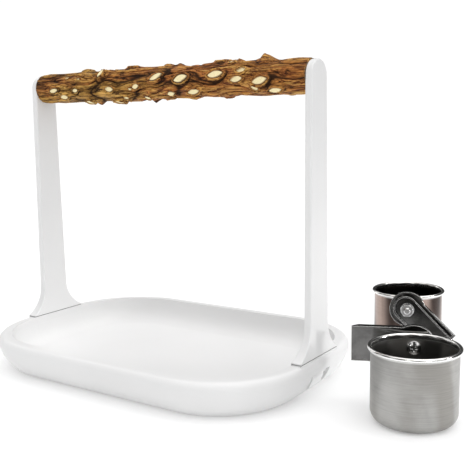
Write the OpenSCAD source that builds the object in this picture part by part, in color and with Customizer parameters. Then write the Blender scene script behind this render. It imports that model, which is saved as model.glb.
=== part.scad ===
// Table perch stand for a pet bird: a white moulded tray, two plug-in uprights, a natural branch
// perch between them, and a pair of steel feeding cups with screw clamps that stand beside it.
// Frame: origin on the floor under the centre of the tray, +X along the perch towards the cups,
// +Y to the back, +Z up. All lengths in millimetres, all angles in degrees.

/* [Tray] */
// Length of the tray over its rim, along the perch
tray_len = 300; // [270:2:330]
// Depth of the tray over its rim, front to back
tray_dep = 208; // [194:2:226]
// Plan radius of the tray's corners at the rim
tray_corner = 75; // [68:1:78]
// Height of the rim's crest above the floor
rim_top = 30.1; // [29:0.1:31]
// Radius of the rim's round edge
rim_r = 5.7; // [5:0.1:6]
// Radius of the bowl curve of the outer wall
bowl_r = 34; // [33:0.5:36]
// Lean of the outer wall where it leaves the rim
bowl_lean = 10; // [9:0.5:12]
// Height of the basin's floor
basin_z = 7.5; // [7:0.1:8.5]
// Thickness of the moulded walls
shell_t = 2.6; // [2.2:0.1:2.8]
// Height of the skirt's lower edge above the floor
skirt_gap = 0.8; // [0.5:0.1:1]
// Thickness of the ribs under the basin
rib_t = 1.8; // [1.4:0.1:2.4]
// Distance between the ribs under the basin
rib_pitch = 48; // [40:1:60]
// Ribs on each side of the middle one, along the tray
ribs_along = 2; // [1:1:2]
// Ribs on each side of the middle one, front to back
ribs_back = 1; // [0:1:1]

/* [Feet] */
// Diameter of a rubber foot
foot_pad_d = 16; // [12:1:20]
// Thickness of a rubber foot
foot_pad_t = 1.7; // [1.5:0.1:2]
// How much wider the boss over a foot is than the foot, all round
pad_boss_edge = 1; // [0.5:0.5:2]
// Inset of a foot's centre from the tray's rim, along both sides
foot_pad_inset = 45; // [42:1:52]

/* [Uprights] */
// Total height of the stand
stand_h = 256.4; // [230:1:290]
// Inset of an upright's outer face from the tray's rim
face_inset = 2.5; // [2:0.1:2.6]
// Width of the foot where it stands on the tray
foot_w = 60; // [56:1:64]
// Thickness of the foot where it stands on the tray
foot_t = 8.8; // [8.6:0.1:9.2]
// Thickness of the stem
stem_t = 6.2; // [5.8:0.1:7]
// Width of the stem above the flare
stem_w = 28.9; // [27:0.1:31]
// Width of the stem at the top, where it ends in a half circle
head_w = 24; // [22:0.5:26]
// Height of the concave flare above the seam
flare_h = 25; // [20:1:32]
// Thickness of the flare's toe at the seam
toe_t = 1.2; // [0.8:0.1:1.6]
// Height of the flat seat on the tray, where the seam shows
seam_z = 31; // [31:0.1:32]
// Depth and height of the shadow groove round the seam
groove = 0.45; // [0.3:0.05:0.6]

/* [Plug and latch] */
// Width of the plug under an upright
plug_w = 46; // [44:1:50]
// Thickness of the plug
plug_t = 3.4; // [3:0.1:3.6]
// Thickness of the seat's wall outside the plug
plug_cover = 2.4; // [2.3:0.1:2.6]
// Height of the plug's lower end
plug_z = 15; // [14.5:0.1:17]
// Clearance round the plug in its socket
plug_gap = 0.1; // [0.05:0.05:0.2]
// Width of the latch tongue
tongue_w = 18; // [14:0.5:20]
// Height of the tongue's bending root
tongue_root_z = 26; // [25:0.1:27]
// Height of the tongue's tip
tongue_tip_z = 6.5; // [6.3:0.1:7.5]
// Thickness of the tongue at its tip
tongue_tip_t = 1; // [0.8:0.1:1.4]
// Height of the hook's ledge under the top of the window
hook_z = 18.7; // [18:0.1:19.3]
// How far the hook stands proud of the plug
hook_out = 0.8; // [0.6:0.05:0.9]
// Height of the hook
hook_h = 5; // [4:0.1:6]
// Width of the window in the end wall
window_w = 30; // [27:0.5:32]
// Clearance between the hook and the top of the window
hook_gap = 0.3; // [0.2:0.05:0.4]
// Thickness of the socket's side walls
socket_wall = 4; // [3:0.1:5]
// Depth of the socket's block behind the upright's foot
socket_in = 8; // [6:0.5:9]
// Clearance round the tongue's root in its seat
root_gap = 0.05; // [0.03:0.01:0.08]
// How much slimmer the tongue's round root is than the plug, all round
root_waist = 0.2; // [0.2:0.05:0.3]
// Clearance above the tongue's shoulder
shoulder_gap = 0.3; // [0.3:0.05:0.4]
// Clearance on each side of the tongue
tongue_gap = 0.6; // [0.5:0.1:0.7]
// Room for the tongue's swing by its root
small_swing = 1.2; // [1.2:0.1:1.4]
// Room for the tongue's swing by its tip
deep_swing = 2.5; // [2.5:0.1:2.8]
// Height where the room for the swing grows deeper
swing_split_z = 17; // [17:0.1:18]
// Height of the window's lower edge
window_low = 5; // [4.9:0.1:5.2]
// How far the window reaches in past the plug
window_in = 0.5; // [0.4:0.1:0.7]

/* [Perch] */
// Mean diameter of the branch
perch_d = 25.4; // [23:0.2:27]
// Height of a thorn scar above the bark
knob_h = 1.8; // [1:0.1:2.2]
// Number of thorn scars along the branch
knob_count = 54; // [40:1:60]
// Turn from one scar to the next, the golden angle of buds on a stem
knob_step = 137.5; // [130:0.5:145]
// Half the length of a scar's mound
knob_long = 5.2; // [4.4:0.1:6]
// Half the width of a scar's mound
knob_wide = 3.2; // [2.8:0.1:3.8]
// Growth of the branch's thickness from left to right, as a share
perch_taper = 0.035; // [0:0.005:0.04]
// Out-of-roundness of the branch, as a share of its radius
perch_oval = 0.012; // [0:0.001:0.014]
// Diameter of the round spigot that carries the branch
spigot_d = 12; // [10:0.5:14]
// Length of the spigot
spigot_len = 12; // [8:0.5:16]
// Diameter of the steel pin through the spigot
pin_d = 5; // [4:0.5:6]
// Length of the steel pin
pin_len = 36; // [30:1:44]
// Depth of the pin's hole past the stem's inner face
pin_bite = 3; // [2:0.1:3.4]
// Room past the pin's end in the branch
pin_room = 1; // [0.5:0.5:2]
// Clearance between a branch end and the stem
perch_end_gap = 0.1; // [0.05:0.05:0.2]
// Clearance of the spigot and pin in the branch
perch_gap = 0.05; // [0.03:0.01:0.1]

/* [Feeding cups] */
// Outer diameter of a cup's wall
cup_d = 61.5; // [56:0.5:66]
// Height of a cup
cup_h = 55; // [52:0.5:62]
// Thickness of a cup's steel
cup_t = 0.8; // [0.6:0.1:1]
// Outer radius of a cup's lower corner
cup_corner = 9; // [7:0.5:11]
// Radius of the rolled rim
bead_r = 1.5; // [1.2:0.1:1.6]
// Diameter of the raised disc in the floor
cup_disc_d = 40; // [34:1:42]
// Rise of the disc in the floor
cup_disc_h = 0.8; // [0.5:0.1:0.8]
// Distance from the top of the rim to the clamp bolt
bolt_drop = 10.5; // [10:0.1:11.5]

/* [Clamp hardware] */
// Diameter of the clamp bolt
bolt_d = 6; // [5:0.5:6]
// Diameter of the bolt's pan head
bolt_head_d = 10.5; // [9.5:0.1:11]
// Height of the bolt's pan head
bolt_head_t = 2.8; // [2.4:0.1:3.2]
// Width of the cross recess in the head
recess_w = 6; // [5:0.1:6.4]
// Width of the recess's slots
recess_t = 1.1; // [0.9:0.1:1.3]
// Depth of the recess
recess_deep = 1.3; // [1:0.1:1.6]
// Length of the bolt past the clamp's back face
bolt_out = 12.8; // [12.6:0.1:14]
// Width across the flats of the nuts
nut_af = 10; // [9.5:0.1:10.5]
// Radius of the ball that rounds the outer corners of a nut
nut_ball = 10.7; // [10.6:0.1:11]
// Thickness of the lock nut that holds the bolt on the cup
lock_nut_t = 3; // [2.8:0.1:3.4]
// Thickness of the clamping nut
nut_t = 4.6; // [4:0.1:4.8]
// Outer diameter of the washer
washer_d = 12; // [11.5:0.1:12.5]
// Thickness of the washer
washer_t = 1; // [0.8:0.1:1.2]
// Running clearance of holes on the bolt
bolt_gap = 0.05; // [0.03:0.01:0.09]

/* [Clamp plates] */
// Diameter of the dished base plate
dish_d = 31; // [30:0.5:32]
// Height of the dish's rim
dish_h = 4; // [3.2:0.1:4.4]
// Thickness of the pressed steel plates
plate_t = 1.2; // [1:0.1:1.3]
// Width of the base plate's arm
arm_w = 27; // [26:0.5:28]
// Height of the flanges on the base plate's arm
arm_h = 6; // [5:0.1:6.6]
// Reach of the jaws from the bolt
jaw_reach = 46; // [42:0.5:47]
// Slant of the arm's flange ends at the jaw's mouth
mouth_slant = 5; // [3:0.5:7]
// Width of the lever
lever_w = 21.6; // [20.4:0.1:22]
// Height of the lever's flanges
lever_h = 5; // [4:0.1:5.6]
// Distance from the lever's heel to the bolt
heel_back = 12; // [11.4:0.1:12.4]
// Corner radius at the outer end of the lever's flanges
lever_tip_r = 3.6; // [2:0.1:3.8]
// Run over which the arm's flanges rise out of the dish
neck_run = 3; // [2.6:0.1:4]
// Overlap of the dish's wall and the arm's flanges
neck_lap = 0.5; // [0.4:0.1:0.9]
// Clearance of the lever's hole round the bolt
slot_gap = 0.2; // [0.15:0.05:0.3]
// Length of the slot in the lever, which lets it rock on the bolt
slot_run = 0.75; // [0.7:0.05:1]
// Clearance between the closed plates
plate_gap = 0.3; // [0.2:0.05:0.4]
// How far the lever stands open as placed
open_rest = 7.5; // [7.5:0.1:8]
// Clearance of the washer above the open lever
washer_gap = 0.1; // [0.1:0.01:0.2]

/* [Places of the cups] */
// Place of the front cup along the perch's direction
front_x = 228; // [226:1:244]
// Place of the front cup from front to back
front_y = -12; // [-20:1:0]
// Turn of the front cup about its own axis
front_turn = 201.5; // [195:0.5:206]
// Direction of the front clamp's jaws, seen from outside the clamp
front_arm = 0; // [-40:1:20]
// Place of the rear cup along the perch's direction
rear_x = 158; // [156:1:166]
// Place of the rear cup from front to back
rear_y = 158; // [156:1:172]
// Turn of the rear cup about its own axis
rear_turn = 20; // [12:1:24]
// Direction of the rear clamp's jaws, seen from outside the clamp
rear_arm = 315; // [315:1:360]

/* [Hidden] */
$fn = 64;
eps = 0.01;
past = 1;

plastic = [0.93, 0.93, 0.92];
rubber = [0.25, 0.25, 0.26];
bark = [0.50, 0.27, 0.11];
steel = [0.62, 0.62, 0.63];
bright_steel = [0.80, 0.80, 0.82];

// Tray: the section is drawn with its radius counted from the centre of the plan's corners
half_len = tray_len / 2;
half_dep = tray_dep / 2;
run_x = half_len - tray_corner;
run_y = half_dep - tray_corner;
rim_cr = tray_corner - rim_r;
rim_cz = rim_top - rim_r;
bowl_cr = rim_cr - (bowl_r - rim_r) * cos(bowl_lean);
bowl_cz = rim_cz + (bowl_r - rim_r) * sin(bowl_lean);
basin_r = rim_cz - basin_z;
basin_cr = rim_cr - rim_r - basin_r;
under_z = basin_z - shell_t;
skirt_in_cr = bowl_cr + sqrt(pow(bowl_r - shell_t, 2) - pow(bowl_cz - foot_pad_t, 2));
foot_pad_x = half_len - foot_pad_inset;
foot_pad_y = half_dep - foot_pad_inset;
pad_boss_d = foot_pad_d + 2 * pad_boss_edge;

// Uprights
face_x = half_len - face_inset;
foot_in_x = face_x - foot_t;
stem_in_x = face_x - stem_t;
head_r = head_w / 2;
perch_z = stand_h - head_r;
flare_z = seam_z + toe_t + flare_h;
flare_side = (foot_w - stem_w) / 2;
flare_side_r = (pow(flare_side, 2) + pow(flare_h, 2)) / (2 * flare_side);
flare_in = foot_t - stem_t;
flare_in_r = (pow(flare_in, 2) + pow(flare_h, 2)) / (2 * flare_in);

// Plug and latch
plug_out_x = face_x - plug_cover - plug_gap;
plug_in_x = plug_out_x - plug_t;
root_x = (plug_out_x + plug_in_x) / 2;
root_r = plug_t / 2 - root_waist;
window_top = hook_z + hook_gap;
socket_w = plug_w + 2 * socket_wall;

// Perch
perch_len = 2 * (stem_in_x - perch_end_gap);
perch_rings = 72;
perch_sides = 24;
perch_twist = 3;
knob_reach = 4;
knob_mean = 0.75;
knob_vary = 0.45;
knob_beat = 73;

// Cups and clamps
cup_r = cup_d / 2;
bead_cr = cup_r - cup_t + bead_r;
bolt_z = cup_h - bolt_drop;
bolt_r = bolt_d / 2;
head_sag = cup_r - cup_t - sqrt(pow(cup_r - cup_t, 2) - pow(bolt_head_d / 2, 2));
head_back = lock_nut_t + cup_t + head_sag;
dish_r = dish_d / 2;
neck_u = sqrt(pow(dish_r, 2) - pow(arm_w / 2, 2));
lever_z = plate_t + plate_gap;
heel_r = lever_w / 2;
washer_r = washer_d / 2;
washer_z = lever_z + (heel_back + washer_r) * tan(open_rest) + plate_t / cos(open_rest) + washer_gap;
nut_z = washer_z + washer_t;

// Half of a body on one side of the middle plane, and its mirror image
module on_left() {
    mirror([1, 0, 0]) children();
}

// Section of the tray filled solid, before the basin and the hollow are taken away
module filled_section() {
    translate([rim_cr, rim_cz]) circle(rim_r);
    translate([0, skirt_gap]) square([bowl_cr, rim_top - skirt_gap]);
    translate([0, rim_cz]) square([rim_cr, rim_r]);
    intersection() {
        translate([bowl_cr, bowl_cz]) circle(bowl_r, $fn = 128);
        polygon([
            [0, skirt_gap], [tray_corner + bowl_r, skirt_gap],
            [bowl_cr + 2 * bowl_r * cos(bowl_lean), bowl_cz - 2 * bowl_r * sin(bowl_lean)],
            [bowl_cr, bowl_cz], [0, bowl_cz]
        ]);
    }
}

// What the basin takes away: a flat floor with a quarter-round rise to the rim
module basin_section() {
    translate([basin_cr, rim_cz]) circle(basin_r, $fn = 128);
    translate([-past, basin_z]) square([basin_cr + past, rim_top]);
    translate([-past, rim_cz]) square([rim_cr - rim_r + past, rim_top]);
}

// The hollow under the tray, one wall thickness inside both skins
module hollow_section() {
    difference() {
        union() {
            translate([rim_cr, rim_cz]) circle(rim_r - shell_t);
            intersection() {
                translate([bowl_cr, bowl_cz]) circle(bowl_r - shell_t, $fn = 128);
                polygon([
                    [-past, -past], [tray_corner + bowl_r, -past],
                    [bowl_cr + 2 * bowl_r * cos(bowl_lean), bowl_cz - 2 * bowl_r * sin(bowl_lean)],
                    [bowl_cr, bowl_cz], [-past, bowl_cz]
                ]);
            }
        }
        translate([basin_cr, rim_cz]) circle(basin_r + shell_t, $fn = 128);
        translate([-2 * past, under_z]) square([basin_cr + 2 * past, rim_top]);
        translate([-2 * past, rim_cz]) square([rim_cr - rim_r + shell_t + 2 * past, rim_top]);
    }
}

module shell_section() {
    difference() {
        filled_section();
        basin_section();
        hollow_section();
    }
}

// Carries a section round the tray: a quarter turn at each corner and a straight run between them
module round_the_tray() {
    for (sx = [0, 1], sy = [0, 1]) {
        mirror([sx, 0, 0]) mirror([0, sy, 0])
            translate([run_x, run_y, 0]) rotate_extrude(angle = 90) children();
    }
    for (side = [0, 1]) {
        mirror([side, 0, 0]) translate([run_x, run_y, 0]) rotate([90, 0, 0])
            linear_extrude(2 * run_y) children();
        mirror([0, side, 0]) translate([-run_x, run_y, 0]) rotate([90, 0, 90])
            linear_extrude(2 * run_x) children();
    }
}

// Solid socket that takes the plug of the right-hand upright
module socket_body() {
    translate([run_x, socket_w / 2, 0]) rotate([90, 0, 0]) linear_extrude(socket_w) {
        intersection() {
            difference() {
                filled_section();
                basin_section();
            }
            translate([foot_in_x - run_x - socket_in, under_z - eps]) square([socket_in + rim_top, rim_top]);
        }
    }
    translate([foot_in_x, -foot_w / 2, rim_cz - past]) cube([foot_t, foot_w, seam_z - rim_cz + past]);
}

// Room for the plug, for the tongue's swing, and the window that shows the tongue
module socket_room() {
    translate([plug_in_x - plug_gap, -plug_w / 2 - plug_gap, plug_z - hook_gap])
        cube([plug_t + 2 * plug_gap, plug_w + 2 * plug_gap, seam_z]);
    translate([plug_in_x - small_swing, -tongue_w / 2 - tongue_gap, swing_split_z - eps])
        cube([plug_t + plug_gap + small_swing, tongue_w + 2 * tongue_gap, tongue_root_z - swing_split_z]);
    translate([plug_in_x - deep_swing, -tongue_w / 2 - tongue_gap, window_low])
        cube([plug_t + plug_gap + deep_swing, tongue_w + 2 * tongue_gap, swing_split_z - window_low]);
    translate([plug_in_x - window_in, -window_w / 2, window_low])
        cube([plug_t + tray_corner, window_w, window_top - window_low]);
}

// Length of a rib that lies off the tray's middle: as long as the basin's floor, and never
// past the skirt's inner face, which draws in round the corners
function rib_span(off, run_off, run_long) =
    let (past_run = max(0, abs(off) + rib_t / 2 - run_off))
    2 * (run_long + min(basin_cr, sqrt(max(0, pow(skirt_in_cr, 2) - pow(past_run, 2)))));

module under_ribs() {
    rib_h = under_z - foot_pad_t + eps;
    for (i = [-ribs_along : ribs_along]) {
        span = rib_span(i * rib_pitch, run_x, run_y);
        translate([i * rib_pitch - rib_t / 2, -span / 2, foot_pad_t]) cube([rib_t, span, rib_h]);
    }
    for (i = [-ribs_back : ribs_back]) {
        span = rib_span(i * rib_pitch, run_y, run_x);
        translate([-span / 2, i * rib_pitch - rib_t / 2, foot_pad_t]) cube([span, rib_t, rib_h]);
    }
}

module pad_bosses() {
    for (sx = [-1, 1], sy = [-1, 1]) {
        translate([sx * foot_pad_x, sy * foot_pad_y, foot_pad_t])
            cylinder(d = pad_boss_d, h = under_z - foot_pad_t + eps);
    }
}

module tray() color(plastic) difference() {
    union() {
        round_the_tray() shell_section();
        translate([-run_x, -run_y, under_z]) cube([2 * run_x, 2 * run_y, shell_t]);
        socket_body();
        on_left() socket_body();
        under_ribs();
        pad_bosses();
    }
    socket_room();
    on_left() socket_room();
}

// Front view of the upright: tapered stem, half-round head and concave flare
module upright_outline() {
    translate([0, perch_z]) circle(head_r);
    polygon([
        [-stem_w / 2, seam_z], [stem_w / 2, seam_z], [stem_w / 2, flare_z],
        [head_r, perch_z], [-head_r, perch_z], [-stem_w / 2, flare_z]
    ]);
    difference() {
        translate([-foot_w / 2, seam_z]) square([foot_w, toe_t + flare_h]);
        for (side = [-1, 1]) {
            translate([side * (stem_w / 2 + flare_side_r), flare_z]) circle(flare_side_r, $fn = 128);
        }
    }
    translate([-foot_w / 2, seam_z]) square([foot_w, toe_t]);
}

// Side view of the upright: a thin stem that thickens towards the foot on its inner face
module upright_thickness() {
    translate([stem_in_x, seam_z]) square([stem_t, stand_h]);
    difference() {
        translate([foot_in_x, seam_z]) square([foot_t, toe_t + flare_h]);
        translate([stem_in_x - flare_in_r, flare_z]) circle(flare_in_r, $fn = 256);
    }
    translate([foot_in_x, seam_z]) square([foot_t, toe_t]);
}

module upright_body() {
    intersection() {
        translate([foot_in_x - past, 0, 0]) rotate([90, 0, 90])
            linear_extrude(foot_t + 2 * past) upright_outline();
        translate([0, foot_w / 2 + past, 0]) rotate([90, 0, 0])
            linear_extrude(foot_w + 2 * past) upright_thickness();
    }
}

// A thin frame round the seam, taken off the foot so that the seam shows as a line
module seam_groove() {
    difference() {
        translate([foot_in_x - past, -foot_w / 2 - past, seam_z - eps])
            cube([foot_t + 2 * past, foot_w + 2 * past, groove]);
        translate([foot_in_x + groove, -foot_w / 2 + groove, seam_z - past])
            cube([foot_t - 2 * groove, foot_w - 2 * groove, groove + 2 * past]);
    }
}

module plug() {
    difference() {
        translate([plug_in_x, -plug_w / 2, plug_z]) cube([plug_t, plug_w, seam_z - plug_z + eps]);
        translate([plug_in_x - past, -tongue_w / 2 - tongue_gap, plug_z - past])
            cube([plug_t + 2 * past, tongue_w + 2 * tongue_gap, tongue_root_z - plug_z + past]);
        translate([root_x, tongue_w / 2 + tongue_gap, tongue_root_z]) rotate([90, 0, 0])
            cylinder(r = root_r + root_gap, h = tongue_w + 2 * tongue_gap);
    }
}

module right_upright() color(plastic) difference() {
    union() {
        difference() {
            upright_body();
            seam_groove();
        }
        plug();
        translate([stem_in_x - spigot_len, 0, perch_z]) rotate([0, 90, 0])
            cylinder(d = spigot_d, h = spigot_len + past);
    }
    translate([stem_in_x - spigot_len - past, 0, perch_z]) rotate([0, 90, 0])
        cylinder(d = pin_d, h = spigot_len + past + pin_bite);
}

module left_upright() on_left() right_upright();

// Tongue with a hook under the window's edge; its round root stands in for the bending plastic
module right_latch() color(plastic) union() {
    translate([root_x, tongue_w / 2, tongue_root_z]) rotate([90, 0, 0]) cylinder(r = root_r, h = tongue_w);
    translate([0, tongue_w / 2, 0]) rotate([90, 0, 0]) linear_extrude(tongue_w) polygon([
        [plug_in_x, tongue_root_z - shoulder_gap], [plug_out_x, tongue_root_z - shoulder_gap],
        [plug_out_x, hook_z], [plug_out_x + hook_out, hook_z],
        [plug_out_x + hook_out, hook_z - hook_h], [plug_in_x + tongue_tip_t, tongue_tip_z],
        [plug_in_x, tongue_tip_z]
    ]);
}

module left_latch() on_left() right_latch();

// Bark radius at a place along the branch and an angle round it: a slow taper and sway, plus
// the scars, which wind along the branch by the golden angle like buds on a stem
function knob_x(k) = (k + 0.5) * perch_len / knob_count - perch_len / 2;
function knob_turn(k) = k * knob_step;
function turn_gap(a, b) = ((a - b) % 360 + 540) % 360 - 180;
function knob_size(k) = knob_h * (knob_mean + knob_vary * sin(k * knob_beat));
function knob_rise(k, x, a) =
    knob_size(k) * exp(-pow((x - knob_x(k)) / knob_long, 2)
    - pow(turn_gap(a, knob_turn(k)) * PI / 360 * perch_d / knob_wide, 2));
function near_knob(x) = floor((x / perch_len + 0.5) * knob_count);
function sum(v, i = 0) = i >= len(v) ? 0 : v[i] + sum(v, i + 1);
function bark_r(x, a) =
    perch_d / 2 * (1 + perch_taper * x / perch_len + perch_oval * sin(x * perch_twist + 2 * a))
    + sum([
        for (k = [near_knob(x) - knob_reach : near_knob(x) + knob_reach])
            k < 0 || k >= knob_count ? 0 : knob_rise(k, x, a)
    ]);

module branch_skin() {
    steps = [for (i = [0 : perch_rings]) -perch_len / 2 + perch_len * i / perch_rings];
    ring_points = [
        for (x = steps, j = [0 : perch_sides - 1])
            let (a = 360 * j / perch_sides, r = bark_r(x, a)) [x, r * cos(a), perch_z + r * sin(a)]
    ];
    left_end = len(ring_points);
    points = concat(ring_points, [[-perch_len / 2, 0, perch_z], [perch_len / 2, 0, perch_z]]);
    faces = concat(
        [for (i = [0 : perch_rings - 1], j = [0 : perch_sides - 1])
            let (p = i * perch_sides, n = (j + 1) % perch_sides) [p + j, p + n, p + perch_sides + j]],
        [for (i = [0 : perch_rings - 1], j = [0 : perch_sides - 1])
            let (p = i * perch_sides, n = (j + 1) % perch_sides)
                [p + n, p + perch_sides + n, p + perch_sides + j]],
        [for (j = [0 : perch_sides - 1]) [left_end, (j + 1) % perch_sides, j]],
        [for (j = [0 : perch_sides - 1]) let (p = perch_rings * perch_sides)
            [left_end + 1, p + j, p + (j + 1) % perch_sides]]
    );
    polyhedron(points, faces);
}

module perch_end_hole() {
    translate([perch_len / 2 + past, 0, perch_z]) rotate([0, -90, 0]) {
        cylinder(r = spigot_d / 2 + perch_gap, h = spigot_len + past + perch_gap);
        cylinder(r = pin_d / 2 + perch_gap, h = pin_len - pin_bite + pin_room + past);
    }
}

module perch() color(bark) difference() {
    branch_skin();
    perch_end_hole();
    on_left() perch_end_hole();
}

module right_perch_pin() color(steel) {
    translate([stem_in_x + pin_bite - pin_len, 0, perch_z]) rotate([0, 90, 0])
        cylinder(d = pin_d, h = pin_len);
}

module left_perch_pin() on_left() right_perch_pin();

module foot_pad(sx, sy) color(rubber) {
    translate([sx * foot_pad_x, sy * foot_pad_y, 0]) {
        cylinder(d = foot_pad_d, h = foot_pad_t);
    }
}

// Cup in its own frame: axis on Z, standing on the floor, bolt towards -Y
module cup_outside() {
    translate([0, cup_corner]) square([cup_r, cup_h - bead_r - cup_corner]);
    square([cup_r - cup_corner, cup_h - bead_r]);
    translate([cup_r - cup_corner, cup_corner]) circle(cup_corner);
}

module cup_inside() {
    in_r = cup_r - cup_t;
    in_corner = cup_corner - cup_t;
    translate([-past, cup_corner]) square([in_r + past, cup_h]);
    translate([-past, cup_t]) square([cup_r - cup_corner + past, cup_h]);
    translate([cup_r - cup_corner, cup_corner]) circle(in_corner);
}

module half_plane() {
    square([3 * cup_r, 3 * cup_h]);
}

module cup_section() {
    intersection() {
        union() {
            difference() {
                cup_outside();
                cup_inside();
                translate([-past, -past]) square([cup_disc_d / 2 + past, cup_disc_h + past]);
            }
            translate([0, cup_disc_h]) square([cup_disc_d / 2 + cup_t, cup_t]);
            translate([bead_cr, cup_h - bead_r]) circle(bead_r);
        }
        half_plane();
    }
}

module at_cup(place, turn) {
    translate([place[0], place[1], 0]) rotate([0, 0, turn]) children();
}

// Frame of a clamp: +Z away from the cup along the bolt, +X towards the jaws, zero at its back
module at_clamp(place, turn, arm) {
    at_cup(place, turn) translate([0, -cup_r - lock_nut_t, bolt_z]) rotate([90, 0, 0]) rotate([0, 0, arm])
        children();
}

module cup(place, turn) color(steel) at_cup(place, turn) difference() {
    rotate_extrude($fn = 128) cup_section();
    translate([0, 0, bolt_z]) rotate([90, 0, 0]) cylinder(r = bolt_r + bolt_gap, h = 2 * cup_r);
}

// Pan-head bolt from inside the cup, with a cross recess
module bolt(place, turn) color(bright_steel) at_clamp(place, turn, 0) difference() {
    union() {
        translate([0, 0, -head_back - eps]) cylinder(r = bolt_r, h = head_back + bolt_out + eps);
        translate([0, 0, -head_back]) mirror([0, 0, 1]) intersection() {
            cylinder(d = bolt_head_d, h = bolt_head_t);
            translate([0, 0, bolt_head_t - bolt_head_d]) sphere(bolt_head_d);
        }
    }
    for (turned = [0, 90]) {
        translate([0, 0, -head_back - bolt_head_t]) rotate([0, 0, turned])
            cube([recess_w, recess_t, 2 * recess_deep], center = true);
    }
}

module hex_nut(thick) {
    difference() {
        intersection() {
            cylinder(d = nut_af / cos(30), h = thick, $fn = 6);
            translate([0, 0, thick - nut_af]) sphere(nut_ball);
        }
        translate([0, 0, -past]) cylinder(r = bolt_r + bolt_gap / 2, h = thick + 2 * past);
    }
}

module lock_nut(place, turn) color(bright_steel) {
    at_clamp(place, turn, 0) translate([0, 0, -lock_nut_t]) hex_nut(lock_nut_t - bolt_gap);
}

module washer(place, turn) color(bright_steel) at_clamp(place, turn, 0) difference() {
    translate([0, 0, washer_z]) cylinder(r = washer_r, h = washer_t - bolt_gap);
    cylinder(r = bolt_r + bolt_gap, h = bolt_out);
}

module clamp_nut(place, turn) color(bright_steel) {
    at_clamp(place, turn, 0) translate([0, 0, nut_z]) hex_nut(nut_t);
}

// Pressed base plate: a round dish behind the nut, and a channel arm that ends in the fixed jaw
module clamp_base(place, turn, arm) color(steel) at_clamp(place, turn, arm) difference() {
    union() {
        cylinder(r = dish_r, h = plate_t);
        difference() {
            cylinder(r = dish_r, h = dish_h);
            translate([0, 0, -past]) cylinder(r = dish_r - plate_t, h = dish_h + 2 * past);
            translate([neck_u - neck_lap, -arm_w, -past]) cube([dish_r, 2 * arm_w, dish_h + 2 * past]);
        }
        translate([0, -arm_w / 2, 0]) cube([jaw_reach, arm_w, plate_t]);
        for (side = [0, 1]) {
            mirror([0, side, 0]) translate([0, arm_w / 2, 0]) rotate([90, 0, 0]) linear_extrude(plate_t) {
                polygon([
                    [neck_u - plate_t, 0], [jaw_reach, 0], [jaw_reach, plate_t],
                    [jaw_reach - mouth_slant, arm_h], [neck_u + neck_run, arm_h], [neck_u - plate_t, dish_h]
                ]);
            }
        }
    }
    translate([0, 0, -past]) cylinder(r = bolt_r + bolt_gap, h = plate_t + 2 * past);
}

// Outline of the lever's flat, shrunk by a margin: a round heel and a straight channel
module lever_flat(margin) {
    translate([heel_r - heel_back, 0]) circle(heel_r - margin);
    translate([heel_r - heel_back, margin - heel_r])
        square([jaw_reach + heel_back - heel_r, lever_w - 2 * margin]);
}

// Side view of the lever's flanges, rounded at their outer end
module lever_side() {
    square([jaw_reach + heel_back, lever_h - lever_tip_r]);
    square([jaw_reach + heel_back - lever_tip_r, lever_h]);
    translate([jaw_reach + heel_back - lever_tip_r, lever_h - lever_tip_r]) circle(lever_tip_r);
}

module lever_shape() {
    intersection() {
        difference() {
            linear_extrude(lever_h) lever_flat(0);
            translate([0, 0, plate_t]) linear_extrude(lever_h) lever_flat(plate_t);
            translate([jaw_reach - past, plate_t - heel_r, plate_t])
                cube([2 * past, lever_w - 2 * plate_t, lever_h]);
        }
        translate([-heel_back, heel_r + past, 0]) rotate([90, 0, 0])
            linear_extrude(lever_w + 2 * past) lever_side();
    }
}

// The clamping lever, hinged on its heel in the dish and standing a little open
module clamp_lever(place, turn, arm) color(bright_steel) at_clamp(place, turn, arm)
    translate([-heel_back, 0, lever_z]) rotate([0, -open_rest, 0]) translate([heel_back, 0, 0]) difference() {
        lever_shape();
        for (shift = [0, slot_run]) {
            translate([shift, 0, -past]) cylinder(r = bolt_r + slot_gap, h = plate_t + 2 * past);
        }
    }

front_place = [front_x, front_y];
rear_place = [rear_x, rear_y];

tray();
left_upright();
right_upright();
left_latch();
right_latch();
perch();
left_perch_pin();
right_perch_pin();
foot_pad(-1, -1);  // front_left_foot
foot_pad(1, -1);  // front_right_foot
foot_pad(-1, 1);  // back_left_foot
foot_pad(1, 1);  // back_right_foot
cup(front_place, front_turn);  // front_cup
bolt(front_place, front_turn);  // front_cup_bolt
lock_nut(front_place, front_turn);  // front_lock_nut
clamp_base(front_place, front_turn, front_arm);  // front_clamp_base
clamp_lever(front_place, front_turn, front_arm);  // front_clamp_lever
washer(front_place, front_turn);  // front_washer
clamp_nut(front_place, front_turn);  // front_clamp_nut
cup(rear_place, rear_turn);  // rear_cup
bolt(rear_place, rear_turn);  // rear_cup_bolt
lock_nut(rear_place, rear_turn);  // rear_lock_nut
clamp_base(rear_place, rear_turn, rear_arm);  // rear_clamp_base
clamp_lever(rear_place, rear_turn, rear_arm);  // rear_clamp_lever
washer(rear_place, rear_turn);  // rear_washer
clamp_nut(rear_place, rear_turn);  // rear_clamp_nut
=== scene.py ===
"""Looks of a table perch stand for a pet bird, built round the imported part.

The stand is a white moulded tray with two plug-in uprights and a natural branch between them. Two
steel feeding cups with screw clamps stand beside it. Shapes are worked out in millimetres and made
into meshes in metres, in the part's own frame: the origin is on the floor under the centre of the
tray, +X runs along the branch towards the cups, +Y to the back and +Z up.
"""

from __future__ import annotations

import logging
import math
from dataclasses import dataclass
from enum import Enum
from typing import Any, Callable, Optional, Sequence, Union

import bmesh
import bpy
import numpy as np
from mathutils import Matrix

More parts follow.
